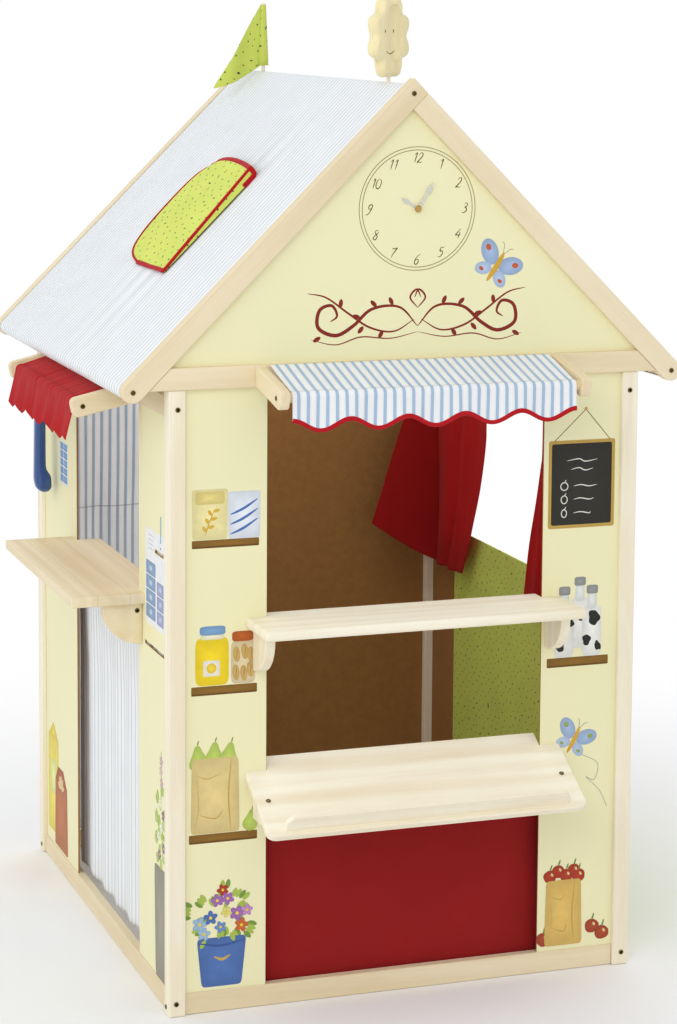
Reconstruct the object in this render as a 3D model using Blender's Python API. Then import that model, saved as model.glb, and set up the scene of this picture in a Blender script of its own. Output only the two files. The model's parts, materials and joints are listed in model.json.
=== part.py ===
"""Play shop with a serving counter and a puppet stage, in metres, +Z up.

The house frame has X across the shop front, Y into the depth and Z up. Its middle is the middle
of the four posts at floor level, and one empty carries it to the middle of the object's box.
"""
import math

import bmesh
import bpy
from mathutils import Matrix, Vector

# Clearances and edges
FIT = 0.0003
EDGE = 0.0015
FACETS = 12

# Frame of posts and rails
HOUSE_WIDTH = 0.870
HOUSE_DEPTH = 1.000
POST_HEIGHT = 1.095
POST = 0.030
RAIL_HEIGHT = 0.038
RAIL_THICKNESS = 0.018
RAIL_RECESS = 0.006
TOP_RAIL_DROP = 0.033
PANEL_THICKNESS = 0.004
PANEL_RECESS = 0.009
GROOVE_DEPTH = 0.007

# Openings in the walls
FRONT_OPENING = 0.516
SIDE_OPENING = 0.471
SIDE_OPENING_MIDDLE = -0.0335
STAGE_OPENING = 0.710
DOOR_WIDTH = 0.420
SLOT_HEIGHTS = (0.797, 0.622)
SLOT_LENGTHS = (0.058, 0.128)
SLOT_WIDTH = 0.007
SLOT_SETBACKS = (0.065, 0.097)

# Roof trusses, bars and cloth
PITCH = math.radians(45)
EAVE_OVERHANG = 0.063
RAFTER_WIDTH = 0.038
RAFTER_THICKNESS = 0.022
RAFTER_PROUD = 0.004
TIE_PROUD = 0.002
BAR_RADIUS = 0.014
CLOTH = 0.0015
ROOF_CLOTH_SIDE_GAP = 0.002
ROOF_WRAP = math.radians(150)
FLAP_TOP = 0.240
FLAP_LENGTH = 0.243
FLAP_REAR = 0.150
FLAP_WIDTH = 0.335
FLAP_LIFT = 0.018
FLAP_HIGH_CORNER = 0.050
FLAP_LOW_CORNER = 0.145
FLAP_CROWN = 1.4
FLAP_STEPS = 5
FLAP_LOW_SHARE = 0.23
FLAP_GUSSET_SHARE = 0.30

# Supports beside an opening: awning arms, brackets and props share one place and thickness
SUPPORT_SETBACK = 0.0155
SUPPORT_THICKNESS = 0.018
ARM_HEIGHT = 0.035
FRONT_ARM_TILT = math.radians(10.5)
SIDE_ARM_TILT = math.radians(12.5)
FRONT_ARM_TO_BAR = 0.115
SIDE_ARM_TO_BAR = 0.104
SIDE_ARM_RAISE = 0.0045
ARM_TIP = 0.019
ARM_CORNER = 0.010
AWNING_BAR_RADIUS = 0.009
VALANCE_FRONT = 0.050
VALANCE_SIDE = 0.058
VALANCE_FLARE = 0.022
WAVE_FRONT = 0.103
WAVE_SIDE = 0.084
WAVE_DEPTH = 0.009
AWNING_SIDE_GAP = 0.007

# Shelf, tray and counter
BOARD_OVERLAP = 0.0375
OPENING_GAP = 0.001
SHELF_TOP = 0.694
SHELF_REACH = 0.106
SHELF_INSIDE = 0.036
SHELF_THICKNESS = 0.018
SHELF_NOSE = 0.006
COUNTER_TOP = 0.706
COUNTER_REACH = 0.123
COUNTER_INSIDE = 0.048
COUNTER_THICKNESS = 0.018
BRACKET_DEPTH = 0.072
BRACKET_HEIGHT = 0.075
BRACKET_LIP = 0.008
TRAY_TILT = math.radians(30)
TRAY_HEIGHT = 0.423
TRAY_LENGTH = 0.155
TRAY_INSIDE = 0.033
TRAY_THICKNESS = 0.012
TRAY_CORNER = 0.016
LIP_HEIGHT = 0.027
LIP_THICKNESS = 0.010
LIP_SETBACK = 0.011
LIP_SHORTER = 0.0345
LIP_CORNER = 0.011
PROP_DEPTH = 0.085
PROP_HEIGHT = 0.070
PROP_LIP = 0.008

# Dowels that carry the hanging cloths
ROD_RADIUS = 0.005
ROD_SEAT = 0.008
ROD_INSET = 0.022
FRONT_ROD_DROP = 0.023
SIDE_ROD_DROP = 0.016
DOOR_ROD_DROP = 0.065
STAGE_ROD_DROP = 0.035
FRONT_HEM = 0.022
SIDE_HEM = 0.045
DOOR_HEM = 0.045
SLEEVE_HEM = 0.016
HANGING_OVERLAP = 0.025
CURTAIN_WIDTH = 0.285
CURTAIN_FOOT = 0.575
CURTAIN_FOLD = 0.012
CURTAIN_FOLDS = 5
CURTAIN_STARTS = (-0.355, 0.405)
CURTAIN_END_GAP = 0.004
STAGE_CLOTH_TOP = 0.649
STAGE_CLOTH_OVERLAP = 0.040
STAGE_CLOTH_FOOT = 0.060
STAGE_BAND = 0.050

# Clock
CLOCK_X = 0.013
CLOCK_RISE = 0.2607
SPINDLE_RADIUS = 0.003
SPINDLE_NUT_RADIUS = 0.0065
SPINDLE_NUT_LENGTH = 0.0035
HAND_THICKNESS = 0.0014
HOUR_HAND = 0.036
MINUTE_HAND = 0.054
HAND_WIDTH = 0.009
HOUR_ANGLE = math.radians(-58)
MINUTE_ANGLE = math.radians(33)

# Handset on its hook
HANDSET_Y = 0.375
HANDSET_DROP = 0.077
HANDSET_LENGTH = 0.195
HANDSET_DEPTH = 0.036
HANDSET_GRIP = 0.020
HANDSET_CUP = 0.050
HANDSET_SEAT = 0.036
HANDSET_CUP_RIM = 0.0125
HANDSET_WIDTH = 0.034
HANDSET_WALL_GAP = 0.010
HOOK_WIDTH = 0.022
HOOK_HEIGHT = 0.030
HOOK_PLATE = 0.003
HOOK_PIN_RADIUS = 0.003
HOOK_PIN_OUT = 0.015
HOOK_PIN_HEIGHT = 0.011
HOOK_ARM = 0.006

# Sun and pennant on the ridge
SPIKE_RADIUS = 0.004
SPIKE_SEAT = 0.016
SPIKE_SHOW = 0.009
SUN_Y = -0.374
SUN_FOOT = 0.0719
SUN_RADIUS = 0.0695
SUN_RAY = 0.0062
SUN_RAYS = 8
SUN_FOOT_ANGLE = math.radians(24)
SUN_THICKNESS = 0.016
SUN_FACE_RADIUS = 0.044
SUN_FACE_DEPTH = 0.003
SUN_PEG_DEPTH = 0.012
SUN_TURN = math.radians(45)
PENNANT_Y = 0.358
PENNANT_HEIGHT = 0.121
PENNANT_SHOW = 0.012
PENNANT_LENGTH = 0.095
PENNANT_DROOP = 0.046
PENNANT_TIP = 0.006
PENNANT_TURN = math.radians(90)

# Sizes that follow from the ones above
HALF_WIDTH = HOUSE_WIDTH / 2
HALF_DEPTH = HOUSE_DEPTH / 2
SUPPORT_X = FRONT_OPENING / 2 + SUPPORT_SETBACK
SIDE_FRONT = SIDE_OPENING_MIDDLE - SIDE_OPENING / 2
SIDE_BACK = SIDE_OPENING_MIDDLE + SIDE_OPENING / 2
SUPPORT_YS = (SIDE_FRONT - SUPPORT_SETBACK, SIDE_BACK + SUPPORT_SETBACK)
PANEL_FRONT = HALF_DEPTH - PANEL_RECESS
PANEL_SIDE = HALF_WIDTH - PANEL_RECESS
PANEL_FOOT = RAIL_HEIGHT - GROOVE_DEPTH
TOP_RAIL_MIDDLE = POST_HEIGHT - TOP_RAIL_DROP
TOP_RAIL_FOOT = TOP_RAIL_MIDDLE - RAIL_HEIGHT / 2
TIE_TOP = POST_HEIGHT + FIT + RAIL_HEIGHT
DOOR_EDGE = -HALF_WIDTH + POST + DOOR_WIDTH
EAVE_X = HALF_WIDTH + EAVE_OVERHANG
EAVE_Z = POST_HEIGHT
RIDGE_Z = EAVE_Z + EAVE_X * math.tan(PITCH)
TRUSS_INNER = HALF_DEPTH + RAFTER_PROUD - RAFTER_THICKNESS
ARM_TIE_FACE = HALF_DEPTH + TIE_PROUD
ARM_RAIL_FACE = HALF_WIDTH - RAIL_RECESS
ROD_LINE_X = HALF_WIDTH - ROD_INSET
ROD_LINE_Y = HALF_DEPTH - ROD_INSET
FRONT_ROD_HEIGHT = TRAY_HEIGHT - FRONT_ROD_DROP
SIDE_ROD_HEIGHT = COUNTER_TOP - COUNTER_THICKNESS - SIDE_ROD_DROP
DOOR_ROD_HEIGHT = POST_HEIGHT - DOOR_ROD_DROP
STAGE_ROD_HEIGHT = TOP_RAIL_FOOT - STAGE_ROD_DROP
CLOCK_Z = TIE_TOP + CLOCK_RISE
HANDSET_TOP = TOP_RAIL_FOOT - HANDSET_DROP
RIDGE_TOP = RIDGE_Z + BAR_RADIUS + 2 * FIT + CLOTH
SPIKE_FOOT = RIDGE_Z + BAR_RADIUS - SPIKE_SEAT

materials = {}
cut_shapes = {}


def finish(name, colour, roughness, metallic=0.0):
    """Makes one Principled material."""
    mat = bpy.data.materials.new(name)
    mat.use_nodes = True
    shader = mat.node_tree.nodes["Principled BSDF"]
    shader.inputs["Base Color"].default_value = (*colour, 1.0)
    shader.inputs["Roughness"].default_value = roughness
    shader.inputs["Metallic"].default_value = metallic
    materials[name] = mat


def make_finishes():
    """Colours of the real surfaces."""
    finish("pale_wood", (0.82, 0.72, 0.53), 0.55)
    finish("post_wood", (0.87, 0.80, 0.65), 0.50)
    finish("cream_panel", (0.86, 0.84, 0.55), 0.45)
    finish("pinstripe_cloth", (0.86, 0.90, 0.92), 0.85)
    finish("striped_cloth", (0.72, 0.80, 0.90), 0.85)
    finish("red_cloth", (0.50, 0.02, 0.02), 0.80)
    finish("lime_cloth", (0.60, 0.75, 0.12), 0.80)
    finish("blue_plastic", (0.03, 0.09, 0.32), 0.30)
    finish("white_plastic", (0.85, 0.85, 0.82), 0.25)
    finish("brass", (0.70, 0.55, 0.25), 0.30, 1.0)
    finish("bronze", (0.20, 0.16, 0.07), 0.40, 1.0)


def add_object(name, mesh_builder, mat, parent, location=(0, 0, 0), rotation=(0, 0, 0)):
    """Turns a bmesh into a placed object under its parent empty."""
    bmesh.ops.recalc_face_normals(mesh_builder, faces=mesh_builder.faces)
    mesh = bpy.data.meshes.new(name)
    mesh_builder.to_mesh(mesh)
    mesh_builder.free()
    mesh.materials.append(materials[mat])
    obj = bpy.data.objects.new(name, mesh)
    bpy.context.scene.collection.objects.link(obj)
    obj.parent = parent
    obj.location = location
    obj.rotation_euler = rotation
    return obj


def add_pivot(name, location, parent):
    """An empty that a moving piece hangs from."""
    pivot = bpy.data.objects.new(name, None)
    bpy.context.scene.collection.objects.link(pivot)
    pivot.location = location
    pivot.parent = parent
    return pivot


def chamfer(obj, width=EDGE, segments=1):
    """Breaks the edges of a board."""
    bevel = obj.modifiers.new("edge", "BEVEL")
    bevel.width = width
    bevel.segments = segments
    bevel.limit_method = "ANGLE"
    bevel.angle_limit = math.radians(40)
    return obj


def box_into(bm, low, high, frame=Matrix.Identity(4)):
    """Adds a box between two corners of a frame."""
    size = Vector(high) - Vector(low)
    middle = (Vector(high) + Vector(low)) / 2
    matrix = frame @ Matrix.Translation(middle) @ Matrix.Diagonal((*size, 1.0))
    bmesh.ops.create_cube(bm, size=1.0, matrix=matrix)


def upright(u, w, depth):
    """Puts an outline in the XZ plane."""
    return (u, depth, w)


def level(u, w, depth):
    """Puts an outline in the XY plane."""
    return (u, w, depth)


def prism_into(bm, outline, low, high, put=upright):
    """Extrudes an outline of (u, w) points from low to high across its plane."""
    front = [bm.verts.new(put(u, w, low)) for u, w in outline]
    back = [bm.verts.new(put(u, w, high)) for u, w in outline]
    bm.faces.new(front)
    bm.faces.new(list(reversed(back)))
    count = len(outline)
    for i in range(count):
        j = (i + 1) % count
        bm.faces.new((front[j], front[i], back[i], back[j]))


def lathe_into(bm, profile, matrix, facets=FACETS):
    """Turns a profile of (radius, height) points, starting and ending on the axis, about Z."""
    rings = []
    for radius, height in profile[1:-1]:
        ring = []
        for i in range(facets):
            angle = 2 * math.pi * (i + 0.5) / facets
            ring.append(bm.verts.new((radius * math.cos(angle), radius * math.sin(angle), height)))
        rings.append(ring)
    first = bm.verts.new((0, 0, profile[0][1]))
    last = bm.verts.new((0, 0, profile[-1][1]))
    for i in range(facets):
        j = (i + 1) % facets
        bm.faces.new((first, rings[0][i], rings[0][j]))
        bm.faces.new((last, rings[-1][j], rings[-1][i]))
        for lower, upper in zip(rings, rings[1:]):
            bm.faces.new((lower[i], upper[i], upper[j], lower[j]))
    verts = [first, last] + [vert for ring in rings for vert in ring]
    bmesh.ops.transform(bm, matrix=matrix, verts=verts)


def aim(start, direction):
    """Matrix that puts local +Z along a direction, from a start point."""
    turn = Vector((0, 0, 1)).rotation_difference(Vector(direction)).to_matrix().to_4x4()
    return Matrix.Translation(start) @ turn


def rod_into(bm, start, end, radius, facets=FACETS):
    """Adds a round bar between two points."""
    run = Vector(end) - Vector(start)
    profile = [(0, 0), (radius, 0), (radius, run.length), (0, run.length)]
    lathe_into(bm, profile, aim(start, run), facets)


def board(name, mat, parent, low, high):
    """A sawn board between two corners, with broken edges."""
    middle = (Vector(low) + Vector(high)) / 2
    bm = bmesh.new()
    box_into(bm, Vector(low) - middle, Vector(high) - middle)
    return chamfer(add_object(name, bm, mat, parent, middle))


def sheet_into(bm, path, columns, place, thickness=CLOTH):
    """A closed sheet: path(u) lists middle points and normals, place puts them in space."""
    rows = [path(i / columns) for i in range(columns + 1)]
    count = len(rows[0])
    sides = []
    for sign in (1, -1):
        side = []
        for u, row in enumerate(rows):
            side.append([bm.verts.new(place(u / columns, point + normal * sign * thickness / 2))
                         for point, normal in row])
        sides.append(side)
    top, bottom = sides
    for i in range(columns):
        for j in range(count - 1):
            bm.faces.new((top[i][j], top[i + 1][j], top[i + 1][j + 1], top[i][j + 1]))
            bm.faces.new((bottom[i][j], bottom[i][j + 1], bottom[i + 1][j + 1], bottom[i + 1][j]))
        for j in (0, count - 1):
            ring = [top[i][j], top[i + 1][j], bottom[i + 1][j], bottom[i][j]]
            bm.faces.new(ring if j else list(reversed(ring)))
    for i in (0, columns):
        for j in range(count - 1):
            ring = [top[i][j], top[i][j + 1], bottom[i][j + 1], bottom[i][j]]
            bm.faces.new(ring if i else list(reversed(ring)))


def with_normals(points):
    """Pairs each 2D path point, given as a Vector, with the left normal of the path there."""
    pairs = []
    for i, point in enumerate(points):
        before = points[max(i - 1, 0)]
        after = points[min(i + 1, len(points) - 1)]
        ahead = (point - before).normalized() + (after - point).normalized()
        ahead.normalize()
        pairs.append((point, Vector((-ahead.y, ahead.x))))
    return pairs


def arc(middle, radius, start, stop, steps):
    """Points of a circular arc in 2D, end points included."""
    return [Vector((middle[0] + radius * math.cos(start + (stop - start) * i / steps),
                    middle[1] + radius * math.sin(start + (stop - start) * i / steps)))
            for i in range(steps + 1)]


def wrap(bar, turn, steps):
    """Radius of a cloth's middle line round a bar, where its flats over a turn just clear it."""
    return (bar + FIT) / math.cos(turn / steps / 2) + CLOTH / 2


def cut(member, shape):
    """Notes a shape, a function that fills a bmesh in the house frame, to be cut from a member."""
    cut_shapes.setdefault(member, []).append(shape)


def cut_box(members, low, high, grow=FIT):
    """Cuts a box, grown by the fit, from each of the members."""
    low = Vector(low) - Vector((grow, grow, grow))
    high = Vector(high) + Vector((grow, grow, grow))
    for member in members:
        cut(member, lambda bm: box_into(bm, low, high))


def cut_rod(members, start, end, radius):
    """Cuts the seat of a round bar, grown by the fit, from each of the members."""
    reach = (Vector(end) - Vector(start)).normalized() * FIT
    for member in members:
        cut(member, lambda bm: rod_into(bm, Vector(start) - reach, Vector(end) + reach,
                                        radius + FIT))


def add_boolean(obj, bm, name, operation, parent):
    """Joins a helper shape to an object or cuts it away."""
    tool = add_object(name, bm, "pale_wood", parent)
    tool.hide_render = True
    tool.display_type = "WIRE"
    boolean = obj.modifiers.new(name, "BOOLEAN")
    boolean.operation = operation
    boolean.solver = "EXACT"
    boolean.object = tool
    return tool


def apply_cuts(house):
    """Gives each member one Boolean with all its shapes."""
    for member, shapes in cut_shapes.items():
        bm = bmesh.new()
        for shape in shapes:
            shape(bm)
        add_boolean(bpy.data.objects[member], bm, "cut_" + member, "DIFFERENCE", house)


def corner_names():
    """The four corners with their signs across and into the house."""
    return (("front_left", -1, -1), ("front_right", 1, -1), ("back_left", -1, 1), ("back_right", 1, 1))


def add_posts(house):
    """Four corner posts."""
    for name, side, end in corner_names():
        x = side * (HALF_WIDTH - POST / 2)
        y = end * (HALF_DEPTH - POST / 2)
        board("post_" + name, "post_wood", house, (x - POST / 2, y - POST / 2, 0),
              (x + POST / 2, y + POST / 2, POST_HEIGHT))


def span(sign, outer, thickness):
    """Low and high of a layer whose outer face is at a distance on one side of the middle."""
    return sorted((sign * outer, sign * (outer - thickness)))


def add_rails(house):
    """Bottom rails on all sides and top rails on the two long sides."""
    run_x = HALF_WIDTH - POST - FIT
    run_y = HALF_DEPTH - POST - FIT
    for name, sign in (("front", -1), ("back", 1)):
        low, high = span(sign, HALF_DEPTH - RAIL_RECESS, RAIL_THICKNESS)
        board("rail_" + name, "pale_wood", house, (-run_x, low, 0), (run_x, high, RAIL_HEIGHT))
    for name, sign in (("left", -1), ("right", 1)):
        low, high = span(sign, HALF_WIDTH - RAIL_RECESS, RAIL_THICKNESS)
        board("rail_" + name, "pale_wood", house, (low, -run_y, 0), (high, run_y, RAIL_HEIGHT))
        board("top_rail_" + name, "pale_wood", house, (low, -run_y, TOP_RAIL_FOOT),
              (high, run_y, TOP_RAIL_FOOT + RAIL_HEIGHT))


def add_panel(house, name, low, high, members):
    """A thin wall panel seated in grooves of the members round it."""
    middle = (Vector(low) + Vector(high)) / 2
    bm = bmesh.new()
    box_into(bm, Vector(low) - middle, Vector(high) - middle)
    add_object(name, bm, "cream_panel", house, middle)
    cut_box(members, low, high)


def add_front_panels(house):
    """The two front panels and the back panel beside the doorway."""
    edge = HALF_WIDTH - POST + GROOVE_DEPTH
    head = POST_HEIGHT + FIT + GROOVE_DEPTH
    low_y, high_y = span(-1, PANEL_FRONT, PANEL_THICKNESS)
    for name, sign in (("left", -1), ("right", 1)):
        low, high = sorted((sign * FRONT_OPENING / 2, sign * edge))
        add_panel(house, "panel_front_" + name, (low, low_y, PANEL_FOOT), (high, high_y, head),
                  ("post_front_" + name, "rail_front", "tie_beam_front"))
    low_y, high_y = span(1, PANEL_FRONT, PANEL_THICKNESS)
    add_panel(house, "panel_back", (DOOR_EDGE, low_y, PANEL_FOOT), (edge, high_y, head),
              ("post_back_right", "rail_back", "tie_beam_back"))


def add_side_panels(house):
    """Two panels on each long side, beside the counter and beside the stage."""
    edge = HALF_DEPTH - POST + GROOVE_DEPTH
    head = TOP_RAIL_FOOT + GROOVE_DEPTH
    gaps = {"left": (SIDE_FRONT, SIDE_BACK), "right": (-STAGE_OPENING / 2, STAGE_OPENING / 2)}
    for wing, sign in (("left", -1), ("right", 1)):
        low_x, high_x = span(sign, PANEL_SIDE, PANEL_THICKNESS)
        front, back = gaps[wing]
        rails = ("rail_" + wing, "top_rail_" + wing)
        add_panel(house, f"panel_{wing}_front", (low_x, -edge, PANEL_FOOT), (high_x, front, head),
                  ("post_front_" + wing, *rails))
        add_panel(house, f"panel_{wing}_back", (low_x, back, PANEL_FOOT), (high_x, edge, head),
                  ("post_back_" + wing, *rails))


def cut_coin_slots():
    """Two slots through the panel in front of the counter."""
    low_x, high_x = span(-1, PANEL_SIDE, PANEL_THICKNESS)
    for height, length, setback in zip(SLOT_HEIGHTS, SLOT_LENGTHS, SLOT_SETBACKS):
        middle = -HALF_DEPTH + POST + setback
        cut_box(("panel_left_front",),
                (low_x - PANEL_THICKNESS, middle - length / 2, height - SLOT_WIDTH / 2),
                (high_x + PANEL_THICKNESS, middle + length / 2, height + SLOT_WIDTH / 2), 0)


def rafter_edge(offset, x):
    """Height at x of the line that lies offset above the rafter's middle line, square to it."""
    return RIDGE_Z + offset / math.cos(PITCH) - abs(x) * math.tan(PITCH)


def rafter_outline(side, through):
    """Rafter in the plane of the truss: round at the eave, cut to its partner at the ridge."""
    half = RAFTER_WIDTH / 2
    slope = PITCH if side < 0 else math.pi - PITCH
    away = slope + math.pi / 2 if side < 0 else slope - math.pi / 2
    turn = math.pi if side < 0 else -math.pi
    eave = [tuple(p) for p in arc((side * EAVE_X, EAVE_Z), half, away, away + turn, 8)]
    reach = side * half / math.sin(PITCH)
    if through:
        return eave + [(-reach, RIDGE_Z), (0, rafter_edge(half, 0))]
    gap_x = side * math.sin(PITCH) * FIT
    gap_z = math.cos(PITCH) * FIT
    return eave + [(gap_x, rafter_edge(-half, 0) - gap_z), (reach + gap_x, RIDGE_Z - gap_z)]


def add_truss(house, name, sign):
    """One gable truss: two rafters, a tie beam and the triangular panel in their grooves."""
    low, high = span(sign, HALF_DEPTH + RAFTER_PROUD, RAFTER_THICKNESS)
    for wing, side in (("left", -1), ("right", 1)):
        bm = bmesh.new()
        middle = (low + high) / 2
        origin = Vector((side * EAVE_X, middle, EAVE_Z))
        outline = [(u - origin.x, w - origin.z) for u, w in rafter_outline(side, side == sign)]
        prism_into(bm, outline, low - middle, high - middle)
        chamfer(add_object(f"rafter_{name}_{wing}", bm, "pale_wood", house, origin))
    add_tie_beam(house, name, sign)
    add_gable(house, name, sign)


def tie_outline():
    """Tie beam between the rafters, with its ends cut to their slope."""
    points = []
    for height in (POST_HEIGHT + FIT, TIE_TOP):
        reach = (rafter_edge(-RAFTER_WIDTH / 2 - FIT, 0) - height) / math.tan(PITCH)
        points.append((reach, height))
    (low_x, low_z), (high_x, high_z) = points
    return [(-low_x, low_z), (low_x, low_z), (high_x, high_z), (-high_x, high_z)]


def add_tie_beam(house, name, sign):
    """The beam that lies on the posts."""
    low, high = span(sign, HALF_DEPTH + TIE_PROUD, RAFTER_THICKNESS + TIE_PROUD - RAFTER_PROUD)
    bm = bmesh.new()
    prism_into(bm, tie_outline(), low, high)
    chamfer(add_object("tie_beam_" + name, bm, "pale_wood", house))


def gable_outline(depth):
    """Triangle that reaches a depth into the grooves of the rafters and the tie beam."""
    foot = TIE_TOP - depth
    apex = rafter_edge(-RAFTER_WIDTH / 2 + depth, 0)
    reach = (apex - foot) / math.tan(PITCH)
    return [(-reach, foot), (reach, foot), (0, apex)]


def add_gable(house, name, sign):
    """The gable panel, and its groove in the three members round it."""
    low, high = span(sign, PANEL_FRONT, PANEL_THICKNESS)
    bm = bmesh.new()
    prism_into(bm, gable_outline(GROOVE_DEPTH), low, high)
    add_object("gable_" + name, bm, "cream_panel", house)
    outline = gable_outline(GROOVE_DEPTH + FIT)
    for member in (f"rafter_{name}_left", f"rafter_{name}_right", "tie_beam_" + name):
        cut(member, lambda bm: prism_into(bm, outline, low - FIT, high + FIT))


def add_roof_bars(house):
    """Ridge bar and eave bars between the trusses."""
    run = TRUSS_INNER - FIT
    for name, x, z in (("ridge_bar", 0, RIDGE_Z), ("eave_bar_left", -EAVE_X, EAVE_Z),
                       ("eave_bar_right", EAVE_X, EAVE_Z)):
        bm = bmesh.new()
        rod_into(bm, (0, -run, 0), (0, run, 0), BAR_RADIUS, 16)
        add_object(name, bm, "pale_wood", house, (x, 0, z))


def roof_path():
    """Middle line of the roof cloth: round one eave bar, over the ridge and round the other."""
    steps = 7
    radius = wrap(BAR_RADIUS, ROOF_WRAP, steps)
    upper = math.pi / 2 + PITCH
    left = arc((-EAVE_X, EAVE_Z), radius, upper + ROOF_WRAP, upper, steps)
    ridge = arc((0, RIDGE_Z), radius, upper, math.pi - upper, steps)
    right = arc((EAVE_X, EAVE_Z), radius, math.pi - upper, math.pi - upper - ROOF_WRAP, steps)
    return left + ridge + right


def add_roof_cloth(house):
    """One sheet over the ridge, between the trusses."""
    run = TRUSS_INNER - ROOF_CLOTH_SIDE_GAP
    rows = with_normals(roof_path())
    bm = bmesh.new()
    sheet_into(bm, lambda u: rows, 1, lambda u, p: (p.x, run - 2 * run * u, p.y))
    add_object("roof_cloth", bm, "pinstripe_cloth", house)


def flap_height(along):
    """Lift of the flap's front edge, from its upper end at 0 to its lower end at 1."""
    return FLAP_LIFT * (1 - (1 - FLAP_LOW_SHARE) * along)


def flap_start(along):
    """Distance of the hinged edge from the hinge line: nothing in its middle, rounded at both ends."""
    return FLAP_HIGH_CORNER * (1 - along) ** 12 + FLAP_LOW_CORNER * (along ** 5 + along ** 25) / 2


def flap_path(along):
    """From the rounded hinge edge over the lifted front edge and down the gusset, as (across, up)."""
    lift = flap_height(along)
    start = flap_start(along)
    shares = [i / FLAP_STEPS for i in range(FLAP_STEPS + 1)]
    rise = [Vector((start + (FLAP_WIDTH - start) * share ** FLAP_CROWN, lift * math.sin(math.pi / 2 * share)))
            for share in shares]
    return with_normals(rise + [Vector((FLAP_WIDTH, lift * FLAP_GUSSET_SHARE))])


def add_roof_flap(house):
    """The roof window's flap, hinged on the edge nearer the back, lying on the left slope."""
    outward = Vector((-math.sin(PITCH), 0, math.cos(PITCH)))
    downward = Vector((-math.cos(PITCH), 0, -math.sin(PITCH)))
    surface = wrap(BAR_RADIUS, ROOF_WRAP, 7) + FIT + CLOTH
    hinge = Vector((0, FLAP_REAR, RIDGE_Z)) + outward * surface + downward * FLAP_TOP
    pivot = add_pivot("flap_hinge", hinge, house)
    bm = bmesh.new()

    def place(u, point):
        return downward * FLAP_LENGTH * u + Vector((0, -point.x, 0)) + outward * point.y

    sheet_into(bm, flap_path, 12, place)
    add_object("roof_window_flap", bm, "lime_cloth", pivot)


def arm_outline(to_bar, tilt):
    """Awning arm as (out from the wall, up): square root, tilted body and rounded tip."""
    half = ARM_HEIGHT / 2
    length = to_bar / math.cos(tilt) + ARM_TIP
    slant = half * math.tan(tilt)
    points = [Vector((slant, -half))]
    points += arc((length - ARM_CORNER, -half + ARM_CORNER), ARM_CORNER, -math.pi / 2, 0, 3)
    points += arc((length - ARM_CORNER, half - ARM_CORNER), ARM_CORNER, 0, math.pi / 2, 3)
    points += [Vector((-slant, half))]
    turn = Matrix.Rotation(-tilt, 2)
    return [tuple(turn @ point) for point in points]


def wall_matrix(turn, face):
    """Frame of a wall's outside: X along the wall, Y into the house, Z up, at the wall's face."""
    return Matrix.Rotation(turn, 4, "Z") @ Matrix.Translation((0, -face, 0))


def add_plates(house, name, outline, places, wall):
    """A flat plate at each place, standing out from a wall, given as (out, up) points."""
    bm = bmesh.new()
    half = SUPPORT_THICKNESS / 2
    for along in places:
        prism_into(bm, outline, along - half, along + half, lambda u, w, depth: (depth, -u - FIT, w))
    return chamfer(add_object(name, bm, "pale_wood", house, wall.translation, (0, 0, wall.to_euler().z)))


def awning_path(root, to_wall, drop, flare):
    """Side view of an awning cloth as (out, up) from the bar: slope, bar and valance."""
    rise = math.atan2(root, to_wall)
    radius = wrap(AWNING_BAR_RADIUS, math.pi / 2 + rise, 5)
    over = arc((0, 0), radius, math.pi / 2 + rise, 0, 5)
    return with_normals([Vector((-to_wall, root + radius)), *over, Vector((radius + flare, -drop))])


def add_front_awning(house):
    """Awning over the shop front, on the tie beam."""
    shape = {"to_bar": FRONT_ARM_TO_BAR, "tilt": FRONT_ARM_TILT, "root": POST_HEIGHT + FIT + RAIL_HEIGHT / 2,
             "top": TIE_TOP, "drop": VALANCE_FRONT, "flare": 0.0, "wave": WAVE_FRONT, "steps": 6,
             "cloth": "striped_cloth"}
    add_awning(house, "front", wall_matrix(0.0, ARM_TIE_FACE), (-SUPPORT_X, SUPPORT_X), shape)


def add_side_awning(house):
    """Awning over the counter, on the top rail of the left side."""
    shape = {"to_bar": SIDE_ARM_TO_BAR, "tilt": SIDE_ARM_TILT, "root": TOP_RAIL_MIDDLE + SIDE_ARM_RAISE,
             "top": TOP_RAIL_FOOT + RAIL_HEIGHT + SIDE_ARM_RAISE, "drop": VALANCE_SIDE,
             "flare": VALANCE_FLARE, "wave": WAVE_SIDE, "steps": 4, "cloth": "red_cloth"}
    wall = wall_matrix(-math.pi / 2, ARM_RAIL_FACE)
    add_awning(house, "side", wall, (-SUPPORT_YS[1], -SUPPORT_YS[0]), shape)


def add_awning(house, name, wall, places, shape):
    """One awning: a frame of two arms with a round bar, and its cloth with a waved valance."""
    outline = [(u, w + shape["root"]) for u, w in arm_outline(shape["to_bar"], shape["tilt"])]
    frame = add_plates(house, "awning_frame_" + name, outline, places, wall)
    bar_y = -shape["to_bar"] - FIT
    bar_z = shape["root"] - shape["to_bar"] * math.tan(shape["tilt"])
    bm = bmesh.new()
    rod_into(bm, wall @ Vector((places[0], bar_y, bar_z)), wall @ Vector((places[1], bar_y, bar_z)),
             AWNING_BAR_RADIUS)
    add_boolean(frame, bm, "join_bar_" + name, "UNION", house)
    half = SUPPORT_THICKNESS / 2
    ends = Vector((places[0] + half, bar_y, bar_z)), Vector((places[1] - half, bar_y, bar_z))
    add_awning_cloth(house, name, wall, ends, shape)


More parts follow.
